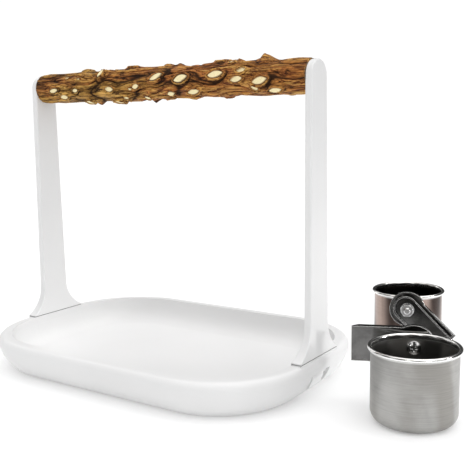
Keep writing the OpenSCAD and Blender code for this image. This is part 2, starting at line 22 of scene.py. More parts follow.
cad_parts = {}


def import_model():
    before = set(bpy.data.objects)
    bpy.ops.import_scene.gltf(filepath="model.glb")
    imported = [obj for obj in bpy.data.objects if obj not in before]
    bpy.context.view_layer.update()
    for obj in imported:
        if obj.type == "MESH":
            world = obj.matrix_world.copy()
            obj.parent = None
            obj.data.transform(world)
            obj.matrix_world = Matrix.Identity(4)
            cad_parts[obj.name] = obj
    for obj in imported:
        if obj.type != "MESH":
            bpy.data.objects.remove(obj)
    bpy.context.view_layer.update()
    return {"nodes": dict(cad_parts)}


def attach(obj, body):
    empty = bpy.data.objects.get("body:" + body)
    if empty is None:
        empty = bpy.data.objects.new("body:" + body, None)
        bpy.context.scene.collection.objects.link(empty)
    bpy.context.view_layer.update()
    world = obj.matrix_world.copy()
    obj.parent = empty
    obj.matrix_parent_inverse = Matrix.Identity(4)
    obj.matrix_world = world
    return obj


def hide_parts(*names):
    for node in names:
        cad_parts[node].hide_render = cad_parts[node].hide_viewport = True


LOG = logging.getLogger("perch_stand")
MM = 0.001
LATTICE = 701  # cells along a ripple before it repeats
GOLDEN_ANGLE = 137.5  # degrees
WELD = 2e-7  # metres within which two points of a mesh are one
SLIVER = 1e-8  # metres below which an edge is dropped
FOOT_X, FOOT_Y = 105.0, 59.0  # mm from the tray's middle to a foot's

Array = np.ndarray
Colour = tuple[float, float, float]
Profile = Sequence[tuple[float, float]]
Reshape = Callable[[Array, Array, Array], Array]


class Side(Enum):
    """Which end of the stand a piece is at; the value is its sign along X."""

    LEFT = -1
    RIGHT = 1

    @property
    def label(self) -> str:
        """The side as the nodes' names spell it."""
        return self.name.lower()


# ---------------------------------------------------------------------------------------------
# Shapes as whole arrays


def smooth(low: float, high: float, value: Array) -> Array:
    """Eases from 0 at low to 1 at high with a cubic, and holds outside; low may exceed high."""
    t = np.clip((value - low) / (high - low), 0.0, 1.0)
    return t * t * (3.0 - 2.0 * t)


def bell(value: Array, middle: float, width: float) -> Array:
    """1 at the middle, falling as a bell to a third at one width from it and on towards 0."""
    return np.exp(-(((value - middle) / width) ** 2))


def ripple(u: Array, v: Array, period: int, seed: int) -> Array:
    """A smooth random field from 0 to 1 on a unit lattice.

    Each lattice point has a fixed random value, and the four round a place are blended with a
    cubic ease in both directions.

    Args:
        u: Position along the first direction, in cells.
        v: Position along the second direction, in cells, where the field repeats.
        period: Cells after which the field repeats in v.
        seed: Seed of the random values.

    Returns:
        The field at each place.
    """
    table = np.random.default_rng(seed).random((LATTICE, period))
    iu, iv = np.floor(u).astype(int), np.floor(v).astype(int)
    fu, fv = smooth(0.0, 1.0, u - iu), smooth(0.0, 1.0, v - iv)
    low, high = (
        table[iu % LATTICE, (iv + k) % period] * (1 - fu)
        + table[(iu + 1) % LATTICE, (iv + k) % period] * fu
        for k in (0, 1)
    )
    return low * (1 - fv) + high * fv


def arc(
    centre: tuple[float, float], radius: float, start: float, end: float, steps: int
) -> list[tuple[float, float]]:
    """Points on a circle from one angle to another, in degrees, both ends included."""
    angles = np.radians(np.linspace(start, end, steps))
    return list(zip(centre[0] + radius * np.cos(angles), centre[1] + radius * np.sin(angles)))


def spread(profile: Profile, step: float) -> Array:
    """Adds points on a profile's straights.

    Args:
        profile: The corners.
        step: The most that two neighbours may lie apart.

    Returns:
        The corners and the points between them.
    """
    points = np.asarray(profile, float)
    rows = [points[:1]]
    for a, b in zip(points[:-1], points[1:]):
        count = max(1, int(math.ceil(float(np.hypot(*(b - a))) / step)))
        t = np.arange(1, count + 1)[:, None] / count
        rows.append(a + (b - a) * t)
    return np.concatenate(rows)


def turned(profile: Array, columns: int, reshape: Optional[Reshape] = None) -> Array:
    """A profile of radius and height carried round the Z axis.

    A point of the grid is (r cos a, r sin a, z), where a runs once round over the columns, and r is
    the profile's radius, or what the reshape function makes of it.

    Args:
        profile: Radius and height of each row.
        columns: Points round the axis.
        reshape: Takes radius, height and angle grids, and returns the radius grid.

    Returns:
        Grid of points, rows by columns by 3.
    """
    angle = 2 * np.pi * np.arange(columns) / columns
    r, a = np.meshgrid(profile[:, 0], angle, indexing="ij")
    z = np.repeat(profile[:, 1][:, None], columns, axis=1)
    if reshape is not None:
        r = reshape(r, z, a)
    return np.stack([r * np.cos(a), r * np.sin(a), z], axis=-1)


def placed(points: Array, matrix: Array) -> Array:
    """Points carried by a 4 by 4 matrix."""
    return points @ matrix[:3, :3].T + matrix[:3, 3]


def turn(degrees: float, axis: str) -> Array:
    """A turn about one of the axes, counter-clockwise when seen from the axis's tip.

    Args:
        degrees: The angle.
        axis: x, y or z.

    Returns:
        The 4 by 4 matrix.
    """
    c, s = math.cos(math.radians(degrees)), math.sin(math.radians(degrees))
    i, j = {"x": (1, 2), "y": (2, 0), "z": (0, 1)}[axis]
    matrix = np.eye(4)
    matrix[i, i], matrix[i, j], matrix[j, i], matrix[j, j] = c, -s, s, c
    return matrix


def shift(x: float, y: float, z: float) -> Array:
    """A shift by a distance along each axis, as a 4 by 4 matrix."""
    matrix = np.eye(4)
    matrix[:3, 3] = (x, y, z)
    return matrix


def facing(across: Array, above: Array, back: Array, where: Sequence[float]) -> Matrix:
    """The turn and place of a camera or a lamp.

    Args:
        across: Its own +X, as a unit vector.
        above: Its own +Y.
        back: Its own +Z, away from what it faces.
        where: Its place, in metres.

    Returns:
        The matrix.
    """
    matrix = np.eye(4)
    matrix[:3, 0], matrix[:3, 1], matrix[:3, 2], matrix[:3, 3] = across, above, back, where
    return Matrix(matrix.tolist())


@dataclass
class Skin:
    """A grid of points that becomes one mesh object.

    Attributes:
        points: Rows by columns by 3, in millimetres.
        ring: Whether the last column joins the first.
        loop: Whether the last row joins the first.
        inside_out: Whether the faces have to turn over.
        marks: Named values on the grid, for the finishes to read.
    """

    points: Array
    ring: bool = True
    loop: bool = False
    inside_out: bool = False
    marks: Optional[dict[str, Array]] = None

    def quads(self) -> tuple[Array, Array]:
        """Where each quad's four corners lie on the grid.

        Returns:
            The corners' row numbers and column numbers, which run on past a seam.
        """
        rows, columns = self.points.shape[:2]
        count = (rows if self.loop else rows - 1, columns if self.ring else columns - 1)
        i, j = (number.ravel()[:, None] for number in np.indices(count))
        i, j = i + np.array([0, 0, 1, 1]), j + np.array([0, 1, 1, 0])
        return (i[:, ::-1], j[:, ::-1]) if self.inside_out else (i, j)

    def faces(self, offset: int) -> Array:
        """Corner numbers of the quads.

        Args:
            offset: Number of the grid's first point.

        Returns:
            Four numbers for each quad.
        """
        rows, columns = self.points.shape[:2]
        i, j = self.quads()
        return i % rows * columns + j % columns + offset

    def wrap(self) -> Array:
        """The quads' corners on a UV map, from 0 to 1 along the columns and the rows."""
        i, j = self.quads()
        return np.stack([j / j.max(), i / i.max()], axis=-1)


def made(name: str, skins: Sequence[Skin], crease: float = 40.0) -> bpy.types.Object:
    """Puts grids into one mesh object, welds seams and poles, and shades it smooth between creases.

    Args:
        name: Name of the piece.
        skins: The grids that the piece is made of.
        crease: Angle in degrees past which an edge stays sharp.

    Returns:
        The object, at the origin, with its place in its mesh.
    """
    corners, quads, uvs, offset = [], [], [], 0
    for skin in skins:
        corners.append(skin.points.reshape(-1, 3) * MM)
        quads.append(skin.faces(offset))
        uvs.append(skin.wrap().reshape(-1, 2))
        offset += len(corners[-1])
    mesh = bpy.data.meshes.new(name)
    mesh.from_pydata(np.concatenate(corners).tolist(), [], np.concatenate(quads).tolist())
    layer = mesh.uv_layers.new(name="wrap")
    layer.data.foreach_set("uv", np.concatenate(uvs).astype(np.float32).ravel())
    for key in sorted({k for skin in skins for k in (skin.marks or {})}):
        values = [
            (skin.marks or {}).get(key, np.zeros(skin.points.shape[:2])).ravel() for skin in skins
        ]
        mark = mesh.attributes.new(key, "FLOAT", "POINT")
        mark.data.foreach_set("value", np.concatenate(values).astype(np.float32))
    work = bmesh.new()
    work.from_mesh(mesh)
    bmesh.ops.remove_doubles(work, verts=work.verts, dist=WELD)
    bmesh.ops.dissolve_degenerate(work, edges=work.edges, dist=SLIVER)
    work.to_mesh(mesh)
    work.free()
    return linked(mesh, crease)


def linked(mesh: bpy.types.Mesh, crease: float) -> bpy.types.Object:
    """Shades a mesh smooth between creases and puts it into the scene.

    Args:
        mesh: The mesh, whose name the object takes.
        crease: Angle in degrees past which an edge stays sharp.

    Returns:
        The object.
    """
    mesh.polygons.foreach_set("use_smooth", np.ones(len(mesh.polygons), bool))
    mesh.set_sharp_from_angle(angle=math.radians(crease))
    mesh.update()
    piece = bpy.data.objects.new(mesh.name, mesh)
    bpy.context.scene.collection.objects.link(piece)
    return piece


def seat(
    piece: bpy.types.Object, finish: bpy.types.Material, body: str, node: str
) -> None:
    """Dresses a piece and puts it in a solid's place.

    Args:
        piece: The piece.
        finish: Its material.
        body: The body that it rides on.
        node: The solid that it stands for.
    """
    piece.data.materials.append(finish)
    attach(piece, body)
    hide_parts(node)
    LOG.info("%s: %d faces", piece.name, len(piece.data.polygons))


# ---------------------------------------------------------------------------------------------
# Shader maths


class Term:
    """A number in a node tree that answers to Python's operators by adding Math nodes."""

    def __init__(self, recipe: "Recipe", socket: bpy.types.NodeSocket) -> None:
        """Wraps an output socket of the recipe's tree."""
        self.recipe = recipe
        self.socket = socket

    def _math(self, operation: str, *values: Any) -> "Term":
        """Adds one Math node on the given values, in order."""
        node = self.recipe.node("ShaderNodeMath", {"operation": operation}, dict(enumerate(values)))
        return Term(self.recipe, node.outputs[0])

    def __add__(self, other: Any) -> "Term":
        """Sum."""
        return self._math("ADD", self, other)

    __radd__ = __add__

    def __mul__(self, other: Any) -> "Term":
        """Product."""
        return self._math("MULTIPLY", self, other)

    __rmul__ = __mul__

    def __sub__(self, other: Any) -> "Term":
        """Difference."""
        return self._math("SUBTRACT", self, other)

    def __rsub__(self, other: Any) -> "Term":
        """Difference from a number."""
        return self._math("SUBTRACT", other, self)

    def __pow__(self, power: float) -> "Term":
        """Power."""
        return self._math("POWER", self, power)

    def ease(self, low: float, high: float) -> "Term":
        """Eases from 0 at low to 1 at high.

        Args:
            low: Value that gives 0.
            high: Value that gives 1; it may be less than low.

        Returns:
            The eased value.
        """
        start, end = (0.0, 1.0) if low < high else (1.0, 0.0)
        inputs = {
            "Value": self, "From Min": min(low, high), "From Max": max(low, high),
            "To Min": start, "To Max": end,
        }
        node = self.recipe.node("ShaderNodeMapRange", {"interpolation_type": "SMOOTHSTEP"}, inputs)
        return Term(self.recipe, node.outputs[0])


class Recipe:
    """The node tree of a material or a world while it is being written."""

    def __init__(self, owner: Union[bpy.types.Material, bpy.types.World], output: str) -> None:
        """Empties the owner's tree and gives it an output.

        Args:
            owner: The material or world.
            output: Type of its output node.
        """
        owner.use_nodes = True
        self.owner = owner
        self.tree = owner.node_tree
        self.tree.nodes.clear()
        self.output = self.node(output)

    @classmethod
    def named(cls, name: str) -> "Recipe":
        """A recipe for a new material of that name."""
        return cls(bpy.data.materials.new(name), "ShaderNodeOutputMaterial")

    def node(
        self,
        kind: str,
        settings: Optional[dict[str, Any]] = None,
        inputs: Optional[dict[Union[str, int], Any]] = None,
    ) -> bpy.types.Node:
        """Adds a node.

        Args:
            kind: The node's type.
            settings: Its properties, set first.
            inputs: Values or links of its sockets, by name or number.

        Returns:
            The node.
        """
        node = self.tree.nodes.new(kind)
        for key, value in (settings or {}).items():
            setattr(node, key, value)
        for key, value in (inputs or {}).items():
            if isinstance(value, Term):
                self.tree.links.new(value.socket, node.inputs[key])
            elif isinstance(value, bpy.types.NodeSocket):
                self.tree.links.new(value, node.inputs[key])
            else:
                node.inputs[key].default_value = value
        return node

    def place(self, scale: Sequence[float] = (1, 1, 1), uv: bool = False) -> bpy.types.NodeSocket:
        """Where a point lies, for a pattern to read.

        Args:
            scale: Stretch of each direction.
            uv: Whether the piece's own UV map is read in place of object coordinates in metres.

        Returns:
            The stretched coordinates.
        """
        if uv:
            source = self.node("ShaderNodeUVMap", {"uv_map": "wrap"}).outputs[0]
        else:
            source = self.node("ShaderNodeTexCoord").outputs["Object"]
        inputs = {"Vector": source, "Scale": tuple(scale)}
        return self.node("ShaderNodeMapping", {}, inputs).outputs[0]

    def height(self) -> Term:
        """Height above the floor, in metres."""
        where = self.node("ShaderNodeTexCoord").outputs["Object"]
        return Term(self, self.node("ShaderNodeSeparateXYZ", {}, {0: where}).outputs[2])

    def softened(self, radius: float) -> bpy.types.NodeSocket:
        """The normal as if edges were rounded by a radius in metres."""
        return self.node("ShaderNodeBevel", {"samples": 6}, {"Radius": radius}).outputs[0]

    def edges(self, radius: float) -> Term:
        """How much the surface bends.

        Args:
            radius: Distance within which the bend is looked for, in metres.

        Returns:
            0 on a flat, towards 1 on an edge.
        """
        true = self.node("ShaderNodeNewGeometry").outputs["Normal"]
        both = {0: self.softened(radius), 1: true}
        dot = self.node("ShaderNodeVectorMath", {"operation": "DOT_PRODUCT"}, both).outputs["Value"]
        return Term(self, dot).ease(0.995, 0.86)

    def noise(
        self, where: Any, scale: float, detail: float = 3.0, rough: float = 0.55, bend: float = 0.0
    ) -> Term:
        """A noise texture.

        Args:
            where: Coordinates that it reads.
            scale: Its cells in a unit of them.
            detail: How many finer layers it has.
            rough: How strong the finer layers are.
            bend: How much it is distorted.

        Returns:
            The value, from 0 to 1.
        """
        inputs = {
            "Vector": where, "Scale": scale, "Detail": detail, "Roughness": rough,
            "Distortion": bend,
        }
        return Term(self, self.node("ShaderNodeTexNoise", {}, inputs).outputs[0])

    def mark(self, name: str) -> Term:
        """A value that the piece's mesh carries."""
        return Term(self, self.node("ShaderNodeAttribute", {"attribute_name": name}).outputs["Fac"])

    def blend(self, a: Any, b: Any, factor: Any) -> bpy.types.NodeSocket:
        """Mixes two colours.

        Args:
            a: Colour where the factor is 0.
            b: Colour where the factor is 1.
            factor: Value or number.

        Returns:
            The mixed colour.
        """
        a, b = ((*c, 1.0) if isinstance(c, tuple) and len(c) == 3 else c for c in (a, b))
        return self.node("ShaderNodeMix", {"data_type": "RGBA"}, {0: factor, 6: a, 7: b}).outputs[2]

    def bump(self, height: Term, depth: float, soften: float = 0.0) -> bpy.types.NodeSocket:
        """A bump in the surface.

        Args:
            height: Its pattern.
            depth: Depth that a height of 1 stands for, in metres.
            soften: Radius in metres over which edges are rounded first.

        Returns:
            The normal.
        """
        inputs = {"Height": height, "Distance": depth, "Strength": 1.0}
        if soften > 0:
            inputs["Normal"] = self.softened(soften)
        return self.node("ShaderNodeBump", {}, inputs).outputs[0]

    def light(self, colour: Colour, strength: Any) -> bpy.types.NodeSocket:
        """Light of a colour and a strength from the surround."""
        return self.node("ShaderNodeBackground", {}, {0: (*colour, 1.0), 1: strength}).outputs[0]

    def choice(self, factor: Any, a: Any, b: Any) -> bpy.types.NodeSocket:
        """Shader a, or shader b where the factor is 1."""
        return self.node("ShaderNodeMixShader", {}, {0: factor, 1: a, 2: b}).outputs[0]

    def surface(self, shader: bpy.types.NodeSocket) -> Any:
        """Ends the tree in a shader and gives back the material or the world."""
        self.tree.links.new(shader, self.output.inputs["Surface"])
        return self.owner

    def finish(self, inputs: dict[str, Any]) -> bpy.types.Material:
        """Ends the material in a Principled shader with these sockets."""
        return self.surface(self.node("ShaderNodeBsdfPrincipled", {}, inputs).outputs[0])


# ---------------------------------------------------------------------------------------------
# Finishes


@dataclass(frozen=True)
class WhitePlastic:
    """Satin white moulded plastic: faint grain, handling scuffs, and painted shade in the seam
    groove at the feet.

    Attributes:
        name: Name of the material.
        tone: Colour of clean plastic.
        sheen: Roughness of clean plastic.
        soften: Radius in metres over which edges are rounded in shading.
        seam: Lowest and highest point of the seam band that is darkened as painted shade, in
            metres, or None.
        grime: Colour of the painted shade in the seam groove.
        fade: Height over which the seam ends, in metres.
        grain_depth: Depth of the grain, in metres.
    """

    name: str = "white_plastic"
    tone: Colour = (0.800, 0.800, 0.798)
    sheen: float = 0.34
    soften: float = 0.0
    seam: Optional[tuple[float, float]] = None
    grime: Colour = (0.19, 0.188, 0.184)
    fade: float = 0.00006
    grain_depth: float = 0.00005

    def material(self) -> bpy.types.Material:
        """Writes the node tree.

        Returns:
            The material.
        """
        r = Recipe.named(self.name)
        clouds = r.noise(r.place(), 9.0, 2.0)
        grain = r.noise(r.place(), 1500.0, 2.0)
        swirl = r.noise(r.place((26, 340, 60)), 1.0, 4.0, 0.6, 0.4)
        scuffs = swirl.ease(0.60, 0.72) * r.noise(r.place(), 30.0, 2.0).ease(0.45, 0.65)
        base = r.blend(self.tone, tuple(0.97 * c for c in self.tone), clouds.ease(0.35, 0.75))
        # Painted shade: the seam groove's band between the two heights is darkened, standing in for
        # the shadow in the groove.
        if self.seam is not None:
            low, high = self.seam
            inside = r.height().ease(low - self.fade, low) * r.height().ease(high + self.fade, high)
            base = r.blend(base, self.grime, inside)
        rough = self.sheen + 0.06 * clouds + 0.05 * grain + 0.10 * scuffs
        height = 0.25 * grain + 0.9 * r.noise(r.place(), 16.0, 1.0) - 0.15 * scuffs
        return r.finish({
            "Base Color": base, "Roughness": rough, "IOR": 1.48,
            "Normal": r.bump(height, self.grain_depth, self.soften),
        })


@dataclass(frozen=True)
class Steel:
    """Stainless steel sheet or bar, with fine working lines and smoky patches; options paint
    highlights on edges and the rim, reflection streaks, and a shade inside.

    Attributes:
        name: Name of the material.
        tone: Colour of the metal.
        roughness: Roughness of the metal.
        smoke: How light the smoky patches are, as a share of the tone.
        lines: Stretch of the working lines.
        wrapped: Whether the lines follow the piece's UV map.
        edge: Colour of the painted highlight on bends and edges, or None.
        edge_radius: Width of the painted edge highlight and of the edges' rounding in shading, in
            metres.
        band: Colour of the painted reflection streaks that the mesh's "band" mark places, or None.
        inside: Colour painted where the mesh's "inside" mark is 1, a painted shade that darkens the
            cup's inside, or None.
        gleam: How many times lighter the painted reflection streaks inside are.
        rim: Colour painted where the mesh's "rim" mark is 1, a painted highlight on the rolled rim.
        rim_roughness: Roughness there.
        line_depth: Depth of the working lines, in metres.
    """

    name: str
    tone: Colour = (0.42, 0.41, 0.40)
    roughness: float = 0.2
    smoke: float = 0.9
    lines: tuple[float, float, float] = (40.0, 40.0, 1400.0)
    wrapped: bool = False
    edge: Optional[Colour] = None
    edge_radius: float = 0.0004
    band: Optional[Colour] = None
    inside: Optional[Colour] = None
    gleam: float = 3.4
    rim: Colour = (0.90, 0.90, 0.89)
    rim_roughness: float = 0.10
    line_depth: float = 0.000010

    def material(self) -> bpy.types.Material:
        """Writes the node tree.

        Returns:
            The material.
        """
        r = Recipe.named(self.name)
        fine = r.noise(r.place(self.lines, self.wrapped), 1.0, 3.0, 0.7)
        smoke = r.noise(r.place(), 55.0, 3.0, 0.6, 0.6)
        base = r.blend(self.tone, tuple(self.smoke * c for c in self.tone), smoke.ease(0.3, 0.8))
        rough = self.roughness + 0.08 * fine + 0.05 * smoke
        # Painted reflection: upright streaks of another tone round the cup.
        if self.band is not None:
            base = r.blend(base, self.band, r.mark("band"))
        base = r.blend(base, (0.0, 0.0, 0.0), 0.14 * fine.ease(0.35, 0.75))
        # Painted shade darkens the inside, with lighter painted reflection streaks; the raised disc
        # keeps nine tenths of the metal's tone in cloudy patches.
        if self.inside is not None:
            lit = tuple(min(1.0, self.gleam * c) for c in self.inside)
            disc_tone = tuple(0.9 * c for c in self.tone)
            deep = r.blend(self.inside, lit, r.mark("band") * r.mark("band"))
            deep = r.blend(deep, disc_tone, r.mark("disc") * smoke.ease(0.30, 0.60))
            base = r.blend(base, deep, r.mark("inside"))
            # Painted highlight on the rolled rim.
            base = r.blend(base, self.rim, r.mark("rim"))
            rough = rough - (self.roughness - self.rim_roughness) * r.mark("rim")
        soften = 0.0
        # Painted highlight on bends and edges.
        if self.edge is not None:
            soften = self.edge_radius
            base = r.blend(base, self.edge, r.edges(soften))
        return r.finish({
            "Base Color": base, "Metallic": 1.0, "Roughness": rough,
            "Normal": r.bump(fine, self.line_depth, soften),
        })


@dataclass(frozen=True)
class Rubber:
    """Soft dark grey rubber with a matt, faintly dusty skin."""

    name: str = "foot_rubber"
    tone: Colour = (0.030, 0.030, 0.032)
    dusty: Colour = (0.095, 0.092, 0.088)
    pit_depth: float = 0.00005

    def material(self) -> bpy.types.Material:
        """Writes the node tree.

        Returns:
            The material.
        """
        r = Recipe.named(self.name)
        dust = r.noise(r.place(), 420.0, 4.0, 0.7)
        pits = r.noise(r.place(), 2200.0, 2.0)
        return r.finish({
            "Base Color": r.blend(self.tone, self.dusty, dust.ease(0.45, 0.8)),
            "Roughness": 0.72 + 0.12 * dust,
            "Normal": r.bump(pits + 0.5 * dust, self.pit_depth),
        })


@dataclass(frozen=True)
class Bark:
    """Oiled bark in gold and red brown, black in its cracks, which painted shade deepens, with pale
    cut wood in the scars and painted highlights in light tan on ridge tops and collars.

    The amber and russet stand where the bark is ruddy, in place of the gold and the umber.
    """

    name: str = "branch_wood"
    gold: Colour = (0.41, 0.205, 0.042)
    umber: Colour = (0.072, 0.033, 0.007)
    amber: Colour = (0.56, 0.205, 0.048)
    russet: Colour = (0.115, 0.030, 0.008)
    straw: Colour = (0.76, 0.44, 0.115)
    crack: Colour = (0.017, 0.007, 0.003)
    cut: Colour = (0.95, 0.83, 0.50)
    ring: Colour = (0.86, 0.62, 0.28)
    rind: Colour = (0.42, 0.20, 0.06)
    fibre_depth: float = 0.0009

    def material(self) -> bpy.types.Material:
        """Writes the node tree.

        Returns:
            The material.
        """
        r = Recipe.named(self.name)
        broad = r.noise(r.place((18, 60, 60)), 1.0, 3.0, 0.6, 0.5)
        streak = r.noise(r.place((75, 620, 620)), 1.0, 5.0, 0.68, 0.8)
        fibre = r.noise(r.place((190, 2400, 2400)), 1.0, 3.0, 0.7)
        grain = (0.72 * streak + 0.28 * fibre).ease(0.42, 0.59)
        warmth = (broad.ease(0.44, 0.64) * 0.55 + r.mark("ruddy") * 0.9).ease(0.1, 0.95)
        calm = r.blend(self.umber, self.gold, grain)
        warm = r.blend(self.russet, self.amber, grain)
        base = r.blend(calm, warm, warmth)
        # Painted highlight: light tan on the tops of the strands and on the collars.
        base = r.blend(base, self.straw, r.mark("crest") * streak.ease(0.42, 0.56) * 0.9)
        # Dark bark in the cracks plus painted shade in the hollows, the grooves round cuts and the
        # ditches under collars.
        dark = (r.mark("crevice") + 0.55 * streak.ease(0.43, 0.33)).ease(0.10, 0.85)
        base = r.blend(base, self.crack, dark * 0.94)
        rings = r.noise(r.place((500, 900, 900)), 1.0, 2.0)
        wood = r.blend(self.cut, self.ring, rings.ease(0.52, 0.82))
        wood = r.blend(wood, self.rind, r.mark("halo"))
        base = r.blend(base, wood, r.mark("cut"))
        whole = 1.0 - r.mark("cut")
        height = whole * (streak + 0.5 * fibre) + 0.08 * rings
        rough = 0.62 - 0.14 * whole + 0.2 * dark
        return r.finish({
            "Base Color": base, "Roughness": rough, "Specular IOR Level": 0.12,
            "Normal": r.bump(height, self.fibre_depth),
        })


# ---------------------------------------------------------------------------------------------
# The branch


@dataclass(frozen=True)
class Scar:
    """A thorn cut off flush.

    Attributes:
        along: Place along the branch from its middle, in mm.
        round: Angle from the front over the top, in degrees.
        long: Half the cut's length, in mm.
        wide: Half the cut's width, in mm.
        slant: Slant of the cut's length against the branch, in degrees.
        rise: Height of the mound that carries the cut, in mm.
        cut: Whether it was cut, or is a blunt knob of bark.
    """

    along: float
    round: float
    long: float
    wide: float
    slant: float
    rise: float
    cut: bool = True

    def near(self, along: Array, angle: Array, mean: float) -> tuple[Array, Array, Array]:
        """How far places on the bark lie from the scar.

        Args:
            along: Places along the branch, in mm.
            angle: Angles round it, in radians.
            mean: The branch's mean radius, in mm.

        Returns:
            Distance along the cut and across it, in mm, and round the branch, in radians.
        """
        gap = (angle - math.radians(self.round) + np.pi) % (2 * np.pi) - np.pi
        dx, dw = along - self.along, gap * mean
        c, s = math.cos(math.radians(self.slant)), math.sin(math.radians(self.slant))
        return dx * c + dw * s, dw * c - dx * s, gap


@dataclass(frozen=True)
class Strand:
    """One layer of the bark's rounded strands.

    Attributes:
        stretch: Length along the branch of a cell of its random field, in mm.
        start: Where the field begins, in cells.
        around: Cells round the branch.
        sway: How far its strands wander round the branch.
        seed: Seed of the field.
        half: How far the field is from its middle level on top of a strand.
        rise: Height of a strand over a crack, in mm.
        sunk: Share of the height that lies below the mean surface.
        crack: Darkness of its cracks, partly the bark's own dark fissures and partly painted shade
            in the hollows.
        lip: Height at which a crack begins, as a share of the strand's.
        root: Height at which it is darkest.
    """

    stretch: float
    start: float
    around: int
    sway: float
    seed: int
    half: float
    rise: float
    sunk: float
    crack: float
    lip: float
    root: float

    def field(self, along: Array, turns: Array, sway: Array) -> Array:
        """The strands: 0 along the random field's middle level, where two of them meet in a crack,
        rising as a root to 1 where the field is half away from it.

        Args:
            along: Places along the branch, in mm.
            turns: Places round it, in turns.
            sway: How the strands wander.

        Returns:
            Height in shares of a strand.
        """
        u = along / self.stretch + self.start
        level = ripple(u, turns * self.around + self.sway * sway, self.around, self.seed)
        return np.sqrt(np.clip(np.abs(level - 0.5) / self.half, 0.0, 1.0))


@dataclass
class Relief:
    """The bark's radius and marks on a grid, while knobs and cuts are worked into it.

    Attributes:
        along: Place along the branch, in mm.
        fray: Raggedness that every cut's outline gets.
        wisp: The finest strands, from 0 to 1.
        radius: Distance from the branch's axis, in mm.
        crevice: Darkness of cracks.
        crest: Painted highlight on the strands' tops and on the collars, stronger on one side of
            each collar.
        ruddy: Redness of the bark.
        cut: Where wood shows.
        halo: Where a cut has its outline.
    """

    along: Array
    fray: Array
    wisp: Array
    radius: Array
    crevice: Array
    crest: Array
    ruddy: Array
    cut: Array
    halo: Array

    # Middle and width of the rings round a cut, in shares of the way to its outline.
    OUTLINE = (1.02, 0.09)
    GROOVE = (1.16, 0.08)
    COLLAR = (1.55, 0.32)
    DITCH = (2.30, 0.42)

    def swell(self, scar: Scar, p: Array, q: Array) -> None:
        """Raises a blunt knob, which falls with the distance in half lengths and half widths.

        Args:
            scar: The knob.
            p: Distance along it, in mm.
            q: Distance across it, in mm.
        """
        far = np.hypot(p / scar.long, q / scar.wide)
        self.radius = self.radius + scar.rise * np.exp(-(far**1.5)) * (0.8 + 0.4 * self.wisp)
        self.ruddy = np.maximum(self.ruddy, 0.7 * bell(far, 0, 1.6))

    def carve(self, scar: Scar, p: Array, q: Array, level: Array) -> None:
        """Raises a mound and cuts it off flat, with a groove, a collar and a ditch round the cut.

        The cut's outline is pointed: it is where the distance across, in half widths, plus the
        square of the distance along, in half lengths, is 1. The ditch lies under the collar only.

        Args:
            scar: The cut.
            p: Distance along it, in mm.
            q: Distance across it, in mm.
            level: Radius of the cut's plane, in mm.
        """
        edge = np.sqrt((q / scar.wide) ** 2 + 0.015) + (p / scar.long) ** 2 + self.fray
        inside = smooth(1.08, 0.94, edge)
        collar = bell(edge, *self.COLLAR)
        groove = bell(edge, *self.GROOVE) * (1 - inside)
        under = smooth(0.1, 1.0, (0.6 * p / scar.long - q / scar.wide) / np.maximum(edge, 0.3))
        ditch = bell(edge, *self.DITCH) * under
        mound = bell(p, 0.30 * scar.long, 1.7 * scar.long) * bell(q, 0, 2.5 * scar.wide)
        radius = self.radius + scar.rise * mound + (0.30 + 0.34 * scar.rise) * collar
        radius = radius * (1 - inside) + level * inside
        self.radius = radius - 0.30 * groove - (0.25 + 0.40 * scar.rise) * ditch
        # Painted shade: the groove round the cut and the ditch under the collar are darkened.
        self.crevice = (
            self.crevice * (1 - 0.7 * collar) * (1 - inside)
            + 0.55 * groove + 0.80 * ditch * (0.3 + 0.9 * (1 - self.wisp))
        )
        # Painted highlight on the collar, stronger on one side of it.
        lit = smooth(0.3, -0.6, q / scar.wide + 0.4 * p / scar.long)
        self.crest = np.maximum(self.crest * (1 - inside), (0.75 * lit + 0.25) * collar)
        self.ruddy = np.maximum(self.ruddy, bell(edge, 0, 3.2) * smooth(-100, 0, self.along))
        self.cut = np.maximum(self.cut, inside)
        self.halo = np.maximum(self.halo, bell(edge, *self.OUTLINE))

    def marks(self) -> dict[str, Array]:
        """The values that the bark's finish reads.

        Returns:
            Each mark's grid by its name.
        """
        return {
            "cut": self.cut, "halo": self.halo * 0.8, "ruddy": self.ruddy,
            "crevice": np.clip(self.crevice, 0, 1.2), "crest": self.crest,
        }


